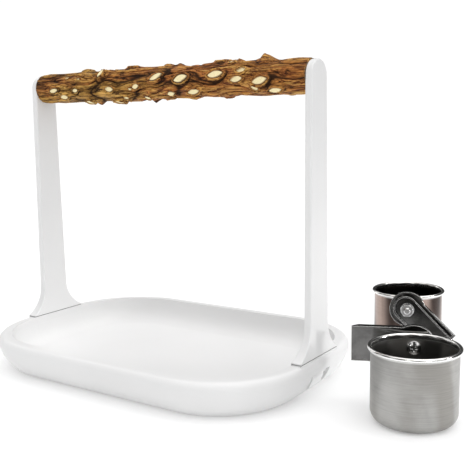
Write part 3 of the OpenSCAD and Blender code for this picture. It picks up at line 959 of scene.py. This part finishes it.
@dataclass
class BranchPerch:
    """The natural branch between the uprights, with its thorn scars and bored ends.

    All sizes are in mm.
    """

    length: float = 282.4
    height: float = 244.4
    thickness: float = 25.4
    taper: float = 0.035
    spigot_bore: float = 6.05  # radius
    spigot_depth: float = 12.05
    pin_bore: float = 2.55  # radius
    pin_depth: float = 35.0
    turn_in: float = 9.0  # length over which the bark calms down towards an end
    end_rings: tuple[float, ...] = (0.985, 0.80, 0.62)  # shares of the bark's radius
    end_cut: float = 0.12  # how far cut wood shows on the ends
    behind: int = 64  # places for scars along the branch, of which those behind it are used
    rows: int = 552
    columns: int = 168
    strands: tuple[Strand, ...] = (
        Strand(46, 3, 13, 1, 15, 0.30, 1.50, 0.7, 0.80, 0.62, 0.12),
        Strand(27, 8, 29, 2, 6, 0.34, 1.15, 0.7, 0.62, 0.58, 0.12),
        Strand(15, 1, 53, 4, 7, 0.40, 0.62, 0.6, 0.36, 0.55, 0.15),
    )
    front: tuple[Scar, ...] = (
        Scar(-117, -11, 6.0, 1.8, 6, 1.6), Scar(-106, -38, 5.4, 2.0, 4, 1.6),
        Scar(-90, -14, 3.6, 1.6, 4, 1.4), Scar(-62, 47, 4.0, 2.3, 76, 2.6),
        Scar(-49, -15, 5.2, 1.9, -2, 1.5), Scar(-19, -10, 4.0, 1.8, 8, 1.4),
        Scar(-26, -19, 2.3, 0.9, -6, 0.8), Scar(-80, -74, 5.6, 2.2, 0, 1.6),
        Scar(-45, -76, 6.8, 2.4, 0, 2.6), Scar(-11, -59, 3.4, 1.5, -12, 1.5),
        Scar(3, 19, 6.8, 2.2, 18, 2.2), Scar(29, 9, 7.2, 2.6, 10, 2.4),
        Scar(16, -44, 4.4, 1.9, 8, 1.5), Scar(-34, -54, 2.8, 1.3, 7, 1.5),
        Scar(-87, 30, 1.6, 0.6, 5, 0.7), Scar(-102, 37, 2.6, 0.6, 7, 0.8),
        Scar(40, -38, 6.8, 2.0, 10, 1.8), Scar(63, 16, 7.9, 2.5, 4, 2.2),
        Scar(83, -3, 6.0, 2.0, 7, 1.6), Scar(87, 24, 4.6, 1.6, 4, 1.6),
        Scar(104, -10, 7.2, 2.4, 9, 2.2), Scar(98, -34, 3.6, 1.5, -16, 1.4),
        Scar(115, -46, 6.6, 2.1, 9, 1.6), Scar(74, 76, 4.0, 2.6, 3, 1.2),
        Scar(85, -63, 1.4, 0.8, 0, 0.8), Scar(-6, -34, 3.4, 1.8, 20, 1.8, False),
        Scar(19, 86, 5.0, 3.2, 0, 2.4, False), Scar(102, 86, 6.0, 3.6, 0, 4.8, False),
        Scar(79, 86, 2.2, 2.0, 0, 1.0, False), Scar(-20, 84, 9.0, 2.6, 0, 1.0, False),
        Scar(-70, -90, 4.0, 2.4, 0, 2.4, False), Scar(-22, -90, 3.0, 2.4, 0, 1.8, False),
        Scar(-8, -90, 3.6, 2.6, 0, 3.0, False), Scar(35, -90, 5.0, 2.6, 0, 1.4, False),
        Scar(73, -90, 4.6, 2.6, 0, 1.0, False),
    )

    def scars(self) -> tuple[Scar, ...]:
        """The scars of the front, and others behind that wind along the branch by the golden angle.

        Returns:
            All of them.
        """
        rest = []
        for k in range(self.behind):
            along = (k + 0.5) * self.length / self.behind - self.length / 2
            angle = (k * GOLDEN_ANGLE + 40) % 360
            if not 96 < angle < 262 or abs(along) > 128:
                continue
            size = 0.5 + 0.5 * math.sin(k * 2.4)
            rest.append(Scar(
                along, angle, long=3.2 + 3.2 * size, wide=1.5 + 1.4 * size,
                slant=22 * math.sin(k * 1.7), rise=1.3 + 1.4 * size,
            ))
        return self.front + tuple(rest)

    def level(self, along: Union[float, Array]) -> Union[float, Array]:
        """Mean radius at a place along the branch, in mm."""
        return self.thickness / 2 * (1 + self.taper * along / self.length)

    def relief(self, along: Array, angle: Array, turns: Array) -> Relief:
        """The bark without its scars: a slow taper and sway, and lengthwise strands.

        Args:
            along: Places along the branch, in mm.
            angle: Angles round it, in radians.
            turns: The same in turns, bent round the scars.

        Returns:
            The bark's radius and marks.
        """
        calm = smooth(self.length / 2, self.length / 2 - self.turn_in, np.abs(along))
        lobes = 0.012 * self.thickness / 2 * np.sin(np.radians(along * 3) + 2 * angle)
        swells = 0.5 * (ripple(along / 26 + 9, angle / np.pi * 3, 6, 3) - 0.5) * calm
        sway = 1.1 * (ripple(along / 19 + 40, turns * 9, 9, 11) - 0.5)
        fields = [strand.field(along, turns, sway) for strand in self.strands]
        # Each layer darkens its cracks, partly as dark bark and partly as painted shade in the
        # hollows.
        ridge, crevice = np.zeros_like(along), np.zeros_like(along)
        for strand, field in zip(self.strands, fields):
            ridge += strand.rise * (field - strand.sunk)
            crevice += strand.crack * smooth(strand.lip, strand.root, field)
        broad, narrow, wisp = fields
        return Relief(
            along=along,
            fray=0.14 * (ripple(along / 3.2, turns * 26, 26, 21) - 0.5),
            wisp=wisp,
            radius=self.level(along) + lobes + swells + ridge * (0.35 + 0.65 * calm),
            crevice=crevice,
            # Painted highlight on the tops of the strands.
            crest=smooth(0.45, 0.90, broad) * smooth(0.45, 0.88, narrow)
            * (0.4 + 0.6 * smooth(0.5, 0.9, wisp)),
            ruddy=0.15 + 0.55 * smooth(-70, 60, along),
            cut=np.zeros_like(along),
            halo=np.zeros_like(along),
        )

    def skin(self) -> Skin:
        """The bark's surface and the bores at both ends.

        The radius at a place along the branch and an angle round it is a slow taper and sway, plus
        lengthwise strands, plus a mound under each scar. Inside a scar's outline it is instead a
        plane square to the branch's radius, tilted a little towards the left end. The strands come
        from random fields on coordinates that spread apart round each scar, so they part and meet
        again as bark does.

        Returns:
            The skin with its marks.
        """
        half, mean = self.length / 2, self.thickness / 2
        around = 2 * np.pi * np.arange(self.columns) / self.columns
        along, angle = np.meshgrid(np.linspace(-half, half, self.rows), around, indexing="ij")
        scars = [(scar, scar.near(along, angle, mean)) for scar in self.scars()]
        flow = angle * mean
        for scar, (p, q, _) in scars:
            bow = bell(p, 0, 2.3 * scar.long) * bell(q, 0, 2.6 * scar.wide)
            flow = flow - 1.45 * scar.wide * np.tanh(q / (0.8 * scar.wide)) * bow
        relief = self.relief(along, angle, flow / mean / (2 * np.pi))
        for scar, (p, q, gap) in scars:
            if scar.cut:
                plane = self.level(scar.along) + 0.86 * scar.rise + 0.08 * p - 0.10 * q
                relief.carve(scar, p, q, plane / np.cos(np.clip(gap, -1.0, 1.0)))
            else:
                relief.swell(scar, p, q)

        left = self._end(relief.radius[0], angle[0], Side.LEFT)
        right = self._end(relief.radius[-1], angle[-1], Side.RIGHT)
        points = np.concatenate([left[::-1], self._rings(along, relief.radius, angle), right])
        ends = ((len(left), len(right)), (0, 0))
        marks = {key: np.pad(value, ends, mode="edge") for key, value in relief.marks().items()}
        marks["cut"][: len(left)] = marks["cut"][-len(right):] = self.end_cut
        return Skin(points, inside_out=True, marks=marks)

    def _rings(self, along: Union[float, Array], radius: Array, angle: Array) -> Array:
        """Points at a distance from the axis.

        Args:
            along: Place along the branch, in mm.
            radius: Distance from its axis, in mm.
            angle: Angle from the front over the top, in radians.

        Returns:
            The points.
        """
        x = np.broadcast_to(along, radius.shape)
        y, z = -radius * np.cos(angle), self.height + radius * np.sin(angle)
        return np.stack([x, y, z], axis=-1)

    def _end(self, radius: Array, angle: Array, side: Side) -> Array:
        """Rows that turn the bark in at one end and line the two bores.

        Args:
            radius: Distance of the bark's last row from the axis, in mm.
            angle: Its angles, in radians.
            side: Which end.

        Returns:
            The rows, from the rim inwards.
        """
        bores = (
            (self.spigot_bore, 0.0), (self.spigot_bore, self.spigot_depth),
            (self.pin_bore, self.spigot_depth), (self.pin_bore, self.pin_depth),
            (0.0, self.pin_depth),
        )
        rows = [(radius * share, 0.0) for share in self.end_rings]
        rows += [(np.full_like(radius, bore), depth) for bore, depth in bores]
        half = self.length / 2
        return np.stack([self._rings(side.value * (half - back), r, angle) for r, back in rows])

    def build(self) -> None:
        """Makes the branch, dresses it and seats it on the stand."""
        piece = made("branch", [self.skin()], crease=180.0)
        seat(piece, Bark().material(), "stand", "perch")


# ---------------------------------------------------------------------------------------------
# Cups and their screws


@dataclass(frozen=True)
class Spot:
    """Where one cup stands.

    Attributes:
        name: Name of the cup, which its nodes and bodies start with.
        x: Place of the cup's axis along the branch's direction, in mm.
        y: Place of the cup's axis from front to back, in mm.
        turn: Turn of the cup about its axis, in degrees.
    """

    name: str
    x: float
    y: float
    turn: float

    def cup(self) -> Array:
        """Carries the cup's own frame, with its bolt towards -Y, to its place."""
        return shift(self.x, self.y, 0) @ turn(self.turn, "z")

    def bolt(self, reach: float, height: float) -> Array:
        """Carries the bolt's own frame, with +Z outwards from the clamp's back, to its place."""
        return self.cup() @ shift(0, -reach, height) @ turn(90, "x")


@dataclass
class FeedingCup:
    """A drawn steel cup with a rolled rim and a raised disc in its floor.

    All sizes are in mm.
    """

    spot: Spot
    finish: Steel
    radius: float = 30.75
    height: float = 55.0
    steel: float = 0.8
    corner: float = 9.0
    bead: float = 1.5
    disc: float = 20.0
    disc_rise: float = 0.8
    step: float = 1.5
    columns: int = 288
    # Number of painted reflection streaks round the cup.
    bands: int = 13

    def outside(self) -> list[tuple[float, float]]:
        """Radius and height from the floor's centre up the wall and over the rim.

        Returns:
            The corners.
        """
        edge = self.disc - 0.3
        bead_r, bead_z = self.radius - self.steel + self.bead, self.height - self.bead
        meet = math.degrees(math.acos((self.radius - bead_r) / self.bead))
        return [
            (0.0, self.disc_rise), (edge, self.disc_rise),
            *arc((edge, self.disc_rise - 0.3), 0.3, 90, 0, 4),
            (self.disc + 0.2, 0.05), (self.disc + 0.5, 0.0),
            *arc((self.radius - self.corner, self.corner), self.corner, -90, 0, 18),
            (self.radius, self.height * 0.5),
            *arc((bead_r, bead_z), self.bead, -meet, 180, 26),
        ]

    def lining(self) -> list[tuple[float, float]]:
        """Radius and height from the wall's foot inside to the floor's centre.

        Returns:
            The corners.
        """
        ledge, top = self.disc + self.steel, self.steel + self.disc_rise
        inner = self.corner - self.steel
        return [
            (self.radius - self.steel, self.corner),
            *arc((self.radius - self.corner, self.corner), inner, 0, -90, 18),
            (ledge + 0.3, self.steel),
            *arc((ledge + 0.3, self.steel + 0.3), 0.3, -90, -180, 4)[1:],
            *arc((ledge - 0.4, top - 0.4), 0.4, 0, 90, 5),
            (0.0, top + 0.15),
        ]

    def skin(self) -> Skin:
        """The profile of radius and height carried round the cup's axis.

        The inside mark, which places the painted shade inside, is 1 from a little below the rim
        down to the floor. The band mark, which places painted reflection streaks, comes from a
        random field round the cup that hardly changes with height.

        Returns:
            The skin at its place, with its marks.
        """
        outside = self.outside()
        profile = spread(outside + self.lining(), self.step)
        first = len(spread(outside, self.step))
        inside = np.zeros(len(profile))
        inside[first:] = smooth(self.height - 2.0, self.height - 7.0, profile[first:, 1])
        grid = turned(profile, self.columns)
        turns = np.broadcast_to(np.arange(self.columns) / self.columns, grid.shape[:2])
        tall = grid[..., 2] / self.height
        field = ripple(5 + 0.8 * tall, turns * self.bands + 0.3 * tall, self.bands, 31)
        reach = np.hypot(grid[..., 0], grid[..., 1])
        marks = {
            "inside": np.repeat(inside[:, None], self.columns, axis=1),
            "band": smooth(0.42, 0.78, field),
            # The rim mark places the painted highlight on the rolled rim.
            "rim": smooth(self.height - 3.3, self.height - 2.9, grid[..., 2]),
            "disc": smooth(self.disc + 0.6, self.disc - 0.2, reach) * smooth(0.1, 0.05, tall),
        }
        return Skin(placed(grid, self.spot.cup()), marks=marks)

    def build(self) -> None:
        """Makes the cup, dresses it and puts it on its body."""
        name = self.spot.name
        piece = made(f"{name}_drawn_cup", [self.skin()], crease=55.0)
        seat(piece, self.finish.material(), f"{name}_cup_body", f"{name}_cup")


@dataclass
class ClampScrew:
    """The bolt through a cup's wall with its lock nut, washer and clamping nut.

    Places along the bolt are counted outwards from the clamp's back face. All sizes are in mm.
    """

    spot: Spot
    reach: float = 33.75
    height: float = 44.5
    bolt: float = 3.0
    pitch: float = 1.0
    thread: float = 0.234
    head: float = 5.25
    head_rise: float = 2.8
    head_back: float = 4.264
    head_round: float = 0.45
    dome_rows: int = 30
    recess_long: float = 2.9
    recess_wide: float = 0.62
    recess_deep: float = 1.2
    tip: float = 12.8
    tip_cone: float = 0.7
    flats: float = 10.0
    lock_nut: float = 2.95
    lock_nut_at: float = -3.0
    washer_at: float = 5.18
    washer_r: float = 6.0
    washer_t: float = 0.95
    nut_at: float = 6.18
    nut: float = 4.6

    def bolt_profile(self) -> Array:
        """Radius and place of the bolt's rows, from the middle of the head to the tip.

        Returns:
            One row each.
        """
        back, ball = -self.head_back, 2 * self.head
        r = np.linspace(0, self.head - self.head_round, self.dome_rows)
        dome = np.stack([r, back - self.head_rise + ball - np.sqrt(ball**2 - r**2)], axis=1)
        corner = (self.head - self.head_round, float(dome[-1, 1]) + self.head_round)
        cone = self.tip - self.tip_cone
        shank = np.arange(back + 0.08, cone, 0.085)
        return np.array([
            *dome, *arc(corner, self.head_round, -80, 0, 5),
            (self.head, back - 0.15), (self.head - 0.15, back), (self.bolt, back),
            *((self.bolt, z) for z in shank), (self.bolt, cone),
            (self.bolt - 0.75, self.tip), (self.bolt - 1.0, self.tip), (0, self.tip),
        ])

    def bolt_skin(self) -> Skin:
        """Pan head with a cross recess, neck and thread.

        The head is a dome whose height falls by the recess's depth where either arm of a cross
        covers the place. The shank's radius falls by a rounded triangle wave of height over pitch
        less one turn, which winds the thread, and fades in below the neck.

        Returns:
            The skin in the bolt's own frame.
        """
        profile = self.bolt_profile()
        neck = -self.head_back + 0.3

        def threaded(r: Array, z: Array, a: Array) -> Array:
            """Winds the thread into the shank."""
            wave = np.abs(((z / self.pitch - a / (2 * np.pi)) % 1.0) * 2 - 1)
            shank = (r > self.bolt - 0.9) * (r < self.bolt + 0.01) * smooth(neck, neck + 0.9, z)
            return r - 2 * self.thread * smooth(0.1, 0.9, wave) * shank

        grid = turned(profile, 72, threaded)
        x, y = np.abs(grid[..., 0]), np.abs(grid[..., 1])
        arms = np.maximum(self._arm(x, y), self._arm(y, x))
        on_dome = grid[..., 2] < profile[self.dome_rows - 1, 1] + 0.02
        grid[..., 2] += self.recess_deep * arms * on_dome
        return Skin(grid)

    def _arm(self, across: Array, along: Array) -> Array:
        """1 inside an arm of the recess, easing to 0 at its sides and ends."""
        sides = smooth(self.recess_wide, self.recess_wide - 0.12, across)
        return sides * smooth(self.recess_long, self.recess_long - 0.6, along)

    def nut_skin(self, thick: float, base: float) -> Skin:
        """A hexagon nut with both faces chamfered and a threaded bore.

        The outer radius at an angle is half the width across flats over the cosine of the angle to
        the nearest flat, and is held inside a cone of 30 degrees at each face.

        Args:
            thick: Its thickness, in mm.
            base: Place of its inner face, in mm.

        Returns:
            The skin in the bolt's own frame.
        """
        rim = self.flats / 2 * 0.985
        bore = self.bolt + 0.025
        corner = self.flats / 2 / math.cos(math.radians(30))
        near = (0.0, 0.12, 0.25, 0.4, 0.6)
        levels = [*near, thick / 2, *(thick - z for z in reversed(near))]
        rows = [(bore + 0.35, 0.0), (rim * 0.8, 0.0)]
        rows += [(corner, z) for z in levels]
        rows += [(rim * 0.8, thick), (bore + 0.35, thick)]
        rows += [(bore, z) for z in np.linspace(thick - 0.3, 0.3, 22)]

        def hexagon(r: Array, z: Array, a: Array) -> Array:
            """Outer radius of the nut, chamfered at both faces."""
            flat = self.flats / 2 / np.cos(np.mod(a, np.pi / 3) - np.pi / 6)
            cone = rim + np.minimum(z, thick - z) * math.tan(math.radians(60))
            return np.where(r >= corner - 1e-6, np.minimum(flat, cone), r)

        grid = turned(np.asarray(rows), 96, hexagon)
        return Skin(placed(grid, shift(0, 0, base)), loop=True)

    def washer_skin(self) -> Skin:
        """A flat ring with rounded edges.

        Returns:
            The skin in the bolt's own frame.
        """
        inner, outer, t, e = self.bolt + 0.06, self.washer_r, self.washer_t, 0.2
        rows = [
            (inner + e, 0.0), (outer - e, 0.0),
            *arc((outer - e, e), e, -90, 0, 4), *arc((outer - e, t - e), e, 0, 90, 4),
            (inner + e, t),
            *arc((inner + e, t - e), e, 90, 180, 4), *arc((inner + e, e), e, 180, 270, 4)[:-1],
        ]
        return Skin(placed(turned(np.asarray(rows), 96), shift(0, 0, self.washer_at)), loop=True)

    def build(self) -> None:
        """Makes the four pieces, dresses them and puts them on their bodies."""
        name = self.spot.name
        # The screw steel's edge colour is a painted highlight on its bends and edges.
        bright = Steel(
            f"{name}_screw_steel", (0.72, 0.72, 0.725), roughness=0.10,
            lines=(300.0, 300.0, 300.0), edge=(0.95, 0.95, 0.95), edge_radius=0.00035,
        ).material()
        where = self.spot.bolt(self.reach, self.height)
        lock_nut = self.nut_skin(self.lock_nut, self.lock_nut_at)
        clamp_nut = self.nut_skin(self.nut, self.nut_at)
        for label, skin, body, node, crease in (
            ("threaded_bolt", self.bolt_skin(), "cup_body", "cup_bolt", 35.0),
            ("hexagon_lock_nut", lock_nut, "cup_body", "lock_nut", 25.0),
            ("ring_washer", self.washer_skin(), "washer_body", "washer", 50.0),
            ("hexagon_clamp_nut", clamp_nut, "nut", "clamp_nut", 25.0),
        ):
            skin.points = placed(skin.points, where)
            piece = made(f"{name}_{label}", [skin], crease)
            seat(piece, bright, f"{name}_{body}", f"{name}_{node}")


# ---------------------------------------------------------------------------------------------
# The stand's small parts


@dataclass
class RubberFoot:
    """A round rubber foot with a rounded edge and grip rings on its underside.

    All sizes are in mm.
    """

    node: str
    x: float
    y: float
    radius: float = 8.0
    thick: float = 1.7
    edge: float = 0.5
    grip: float = 1.7
    grip_deep: float = 0.22

    def build(self, rubber: bpy.types.Material) -> None:
        """Makes the foot and seats it under the tray.

        Args:
            rubber: Its material.
        """
        r = np.linspace(0, self.radius - 0.6, 46)
        between = smooth(-0.2, 0.6, np.cos(r * 2 * np.pi / self.grip))
        sole = self.grip_deep * between * smooth(0.8, 1.6, r)
        rows = [
            *zip(r, sole),
            *arc((self.radius - self.edge, self.edge), self.edge, -80, 0, 6),
            (self.radius, self.thick), (self.radius * 0.5, self.thick), (0.0, self.thick),
        ]
        grid = placed(turned(np.asarray(rows), 96), shift(self.x, self.y, 0))
        piece = made(f"{self.node}_pad", [Skin(grid)])
        seat(piece, rubber, "stand", self.node)


@dataclass
class PerchPin:
    """A ground steel pin with chamfered ends, inside a spigot.

    All sizes are in mm.
    """

    side: Side
    radius: float = 2.5
    length: float = 36.0
    chamfer: float = 0.4
    stem: float = 141.3  # from the stand's middle to an upright's inner face
    bite: float = 3.0  # how far it goes into the upright
    height: float = 244.4

    def build(self, steel: bpy.types.Material) -> None:
        """Makes the pin and drives it into its spigot.

        Args:
            steel: Its material.
        """
        c, r, n = self.chamfer, self.radius, self.length
        rows = spread([(0, 0), (r - c, 0), (r, c), (r, n - c), (r - c, n), (0, n)], 2.0)
        outer_end = self.side.value * (self.stem + self.bite)
        start = outer_end - n if self.side is Side.RIGHT else outer_end
        grid = placed(turned(rows, 48), shift(start, 0, self.height) @ turn(90, "y"))
        piece = made(f"{self.side.label}_ground_pin", [Skin(grid)])
        seat(piece, steel, "stand", f"{self.side.label}_perch_pin")


@dataclass
class Upright:
    """A plug-in upright: the solid's own shape, its long edges rounded as a mould rounds them.

    The rounding is full on the stem and the head and fades to a third of it at the foot's toe. All
    sizes are in mm.
    """

    side: Side
    edge: float = 1.5
    toe: float = 32.15  # height where the rounding begins
    flare: float = 24.0  # height over which it grows
    slimmest: float = 0.33  # its share at the toe
    inner_face: float = 141.3
    spigot: float = 5.0  # how far from the inner face the spigot's own edges lie
    height: float = 244.4  # of the spigot's axis
    keep: float = 7.5  # radius round that axis within which edges stay as they are
    bend: float = 35.0  # degrees past which an edge is rounded
    weld: float = 0.18  # distance within which corners are one
    level: float = 0.4  # degrees within which faces are one

    def build(self, solid: bpy.types.Object, plastic: bpy.types.Material) -> None:
        """Rounds a copy of the solid, dresses it and seats it in the tray.

        Args:
            solid: The solid that the copy is taken from.
            plastic: Its material.
        """
        mesh = solid.data.copy()
        mesh.name = f"{self.side.label}_rounded_upright"
        work = bmesh.new()
        work.from_mesh(mesh)
        bmesh.ops.remove_doubles(work, verts=work.verts, dist=self.weld * MM)
        flat = math.radians(self.level)
        bmesh.ops.dissolve_limit(work, angle_limit=flat, verts=work.verts, edges=work.edges)
        weight = work.edges.layers.float.new("bevel_weight_edge")
        for edge in work.edges:
            if self._rounded(edge):
                low = np.float64(min(v.co.z for v in edge.verts) / MM)
                grown = smooth(self.toe, self.toe + self.flare, low)
                edge[weight] = float(self.slimmest + (1 - self.slimmest) * grown)
        work.to_mesh(mesh)
        work.free()
        mesh.materials.clear()
        piece = linked(mesh, self.bend)
        rounding = piece.modifiers.new("mould_rounding", "BEVEL")
        rounding.limit_method, rounding.width, rounding.segments = "WEIGHT", self.edge * MM, 5
        rounding.use_clamp_overlap, rounding.harden_normals = False, True
        seat(piece, plastic, "stand", f"{self.side.label}_upright")

    def _rounded(self, edge: bmesh.types.BMEdge) -> bool:
        """Whether an edge is one of those that a mould rounds.

        Args:
            edge: An edge of the solid.

        Returns:
            False in the tray, on a seam, on a flat, and on the spigot or its pin's bore.
        """
        low = min(v.co.z for v in edge.verts) / MM
        near = min(abs(v.co.x) for v in edge.verts) / MM
        if low < self.toe or near <= self.inner_face - self.spigot or len(edge.link_faces) != 2:
            return False
        middle = (edge.verts[0].co + edge.verts[1].co) / 2 / MM
        bored = math.hypot(middle.y, middle.z - self.height) < self.keep
        return edge.calc_face_angle() >= math.radians(self.bend) and not bored


@dataclass
class MouldedParts:
    """The solids whose shape is right as they come: they keep it and take a finish."""

    nodes: dict[str, bpy.types.Object]

    def dress(self, names: Sequence[str], finish: bpy.types.Material) -> None:
        """Puts one finish on each named solid.

        Args:
            names: The solids.
            finish: Their material.
        """
        for name in names:
            mesh = self.nodes[name].data
            mesh.materials.clear()
            mesh.materials.append(finish)
            LOG.info("%s: dressed", name)


# ---------------------------------------------------------------------------------------------
# Studio


@dataclass
class Studio:
    """A pale floor, a white surround, soft lights and the camera of the photograph."""

    eye: tuple[float, float, float] = (0.41043, -0.50859, 0.21142)  # metres
    azimuth: float = 33.775
    elevation: float = 8.465
    roll: float = -0.912
    lens: float = 58.285  # mm, for a picture 36 mm wide
    floor: float = 7.0  # radius in metres
    floor_middle: float = 0.35  # radius of its innermost ring
    floor_glow: float = 0.25
    sky_low: float = 0.08  # strength at the horizon
    sky_rise: float = 1.68  # how much stronger it is overhead
    sky_side: float = 0.20  # how much stronger it is to the right
    backdrop: float = 1.04  # strength of the white that the camera sees

    def camera(self) -> None:
        """Sets the camera by azimuth, elevation and roll."""
        a, e, r = (math.radians(v) for v in (self.azimuth, self.elevation, self.roll))
        back = np.array([math.sin(a) * math.cos(e), -math.cos(a) * math.cos(e), math.sin(e)])
        right = np.cross(-back, [0.0, 0.0, 1.0])
        right /= np.linalg.norm(right)
        up = np.cross(right, -back)
        across = math.cos(r) * right + math.sin(r) * up
        above = -math.sin(r) * right + math.cos(r) * up
        data = bpy.data.cameras.new("photo_camera")
        data.lens, data.sensor_width, data.sensor_fit = self.lens, 36.0, "HORIZONTAL"
        data.clip_start, data.clip_end = 0.02, 60.0
        camera = bpy.data.objects.new("photo_camera", data)
        camera.matrix_world = facing(across, above, back, self.eye)
        bpy.context.scene.collection.objects.link(camera)
        bpy.context.scene.camera = camera

    def ground(self) -> None:
        """Lays the floor: a flat disc of rings whose width grows outwards, lit a little from within
        as a light table is, so that it stays white under the whole view."""
        growth = (self.floor / self.floor_middle) ** np.linspace(0, 1, 12)
        rings = np.concatenate([[0.0], self.floor_middle * growth]) / MM
        grid = turned(np.stack([rings, np.zeros_like(rings)], axis=1), 96)
        floor = made("floor", [Skin(grid, inside_out=True)])
        r = Recipe.named("pale_floor")
        paper = r.noise(r.place(), 3.0, 2.0)
        floor.data.materials.append(r.finish({
            "Base Color": r.blend((0.77, 0.77, 0.77), (0.75, 0.75, 0.75), paper),
            "Roughness": 0.75 + 0.05 * paper, "Specular IOR Level": 0.1,
            "Emission Color": (1.0, 1.0, 1.0, 1.0), "Emission Strength": self.floor_glow,
        }))

    def lamp(
        self,
        name: str,
        where: Sequence[float],
        aim: Sequence[float],
        size: float,
        power: float,
        beam: float = 180.0,
    ) -> None:
        """Hangs one square soft light and points it.

        Args:
            name: Its name.
            where: Its place, in metres.
            aim: The point it faces, in metres.
            size: Length of its sides, in metres.
            power: Its power, in watts.
            beam: Angle of its beam, in degrees.
        """
        data = bpy.data.lights.new(name, "AREA")
        data.shape, data.size, data.energy, data.spread = "SQUARE", size, power, math.radians(beam)
        lamp = bpy.data.objects.new(name, data)
        back = np.asarray(where, float) - np.asarray(aim, float)
        back /= np.linalg.norm(back)
        side = np.cross([0.0, 1.0, 0.001], back)
        side /= np.linalg.norm(side)
        lamp.matrix_world = facing(side, np.cross(back, side), back, where)
        bpy.context.scene.collection.objects.link(lamp)

    def surround(self) -> None:
        """Sets the surround: a white sky for the view, one that brightens overhead and to the right
        for soft light, and a dim room with bright upright panels for polished steel to mirror."""
        world = bpy.data.worlds.new("studio_surround")
        bpy.context.scene.world = world
        r = Recipe(world, "ShaderNodeOutputWorld")
        ray = r.node("ShaderNodeLightPath").outputs
        view = r.node("ShaderNodeTexCoord").outputs["Generated"]
        parts = r.node("ShaderNodeSeparateXYZ", {}, {0: view})
        across, high = Term(r, parts.outputs[0]), Term(r, parts.outputs[2])
        soft = self.sky_low + self.sky_rise * (high * high) ** 0.5 + self.sky_side * across
        tall = r.node("ShaderNodeMapping", {}, {"Vector": view, "Scale": (2.1, 2.1, 0.3)})
        strips = r.noise(tall.outputs[0], 1.0, 1.0, 0.4).ease(0.40, 0.64)
        panels = 0.03 + 0.10 * strips + 1.3 * strips**3 + 1.1 * high.ease(0.60, 0.95)
        sky = r.light((1.0, 1.0, 1.004), soft)
        room = r.light((1.0, 0.985, 0.965), panels)
        white = r.light((1.0, 1.0, 1.0), self.backdrop)
        lit = r.choice(ray["Is Glossy Ray"], sky, room)
        r.surface(r.choice(ray["Is Camera Ray"], lit, white))

    def build(self) -> None:
        """Sets up the whole studio."""
        bpy.context.scene.view_settings.view_transform = "Standard"
        self.camera()
        self.ground()
        self.surround()
        self.lamp("key_panel", (-0.7, -1.3, 1.1), (0.0, 0.0, 0.12), size=0.35, power=0.60)
        self.lamp(
            "corner_panel", (0.95, 0.30, 0.20), (0.15, 0.03, 0.0), size=0.22, power=0.055, beam=16.0
        )
        LOG.info("studio: floor, lights and camera")


def main() -> None:
    """Builds every piece in order."""
    logging.basicConfig(level=logging.INFO, format="%(name)s: %(message)s")
    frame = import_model()
    Studio().build()

    parts = MouldedParts(frame["nodes"])
    # Tray and uprights take painted shade in the seam groove at the uprights' feet.
    parts.dress(["tray"], WhitePlastic(seam=(0.03092, 0.0315)).material())
    stems = WhitePlastic("upright_plastic", seam=(0.0295, 0.03144)).material()
    for side in Side:
        Upright(side).build(frame["nodes"][f"{side.label}_upright"], stems)
    tongues = WhitePlastic("latch_plastic", sheen=0.42, soften=0.0004).material()
    parts.dress(["left_latch", "right_latch"], tongues)
    # The clamp plates' very dark tone is a painted dark reflection, and their edge colour is a
    # painted highlight.
    pressed = Steel(
        "clamp_steel", (0.17, 0.168, 0.165), roughness=0.10, smoke=0.55,
        lines=(500.0, 500.0, 500.0), edge=(0.97, 0.97, 0.96), edge_radius=0.00055,
    ).material()
    for plate in ("clamp_base", "clamp_lever"):
        parts.dress([f"front_{plate}", f"rear_{plate}"], pressed)

    rubber = Rubber().material()
    for depth, y in (("front", -FOOT_Y), ("back", FOOT_Y)):
        for side in Side:
            RubberFoot(f"{depth}_{side.label}_foot", side.value * FOOT_X, y).build(rubber)
    ground_steel = Steel(
        "pin_steel", (0.55, 0.55, 0.56), roughness=0.25, lines=(60.0, 900.0, 900.0)
    ).material()
    for side in Side:
        PerchPin(side).build(ground_steel)
    BranchPerch().build()
    # Both cups paint reflections into their colour: streaks from the band mark, painted shade
    # inside and a painted highlight on the rim. The rear cup's very dark tone is a painted dark
    # reflection.
    spun = {"lines": (6.0, 260.0, 1.0), "wrapped": True}
    satin = Steel(
        "front_cup_steel", (0.46, 0.455, 0.44), roughness=0.32, smoke=0.80,
        band=(0.33, 0.32, 0.30), inside=(0.13, 0.126, 0.12), **spun,
    )
    polished = Steel(
        "rear_cup_steel", (0.070, 0.052, 0.046), roughness=0.15, smoke=0.74,
        band=(0.40, 0.31, 0.27), inside=(0.035, 0.033, 0.03), **spun,
    )
    front = Spot("front", x=228, y=-12, turn=201.5)
    rear = Spot("rear", x=158, y=158, turn=20)
    for spot, finish in ((front, satin), (rear, polished)):
        FeedingCup(spot, finish).build()
        ClampScrew(spot).build()


if __name__ == "__main__":
    main()
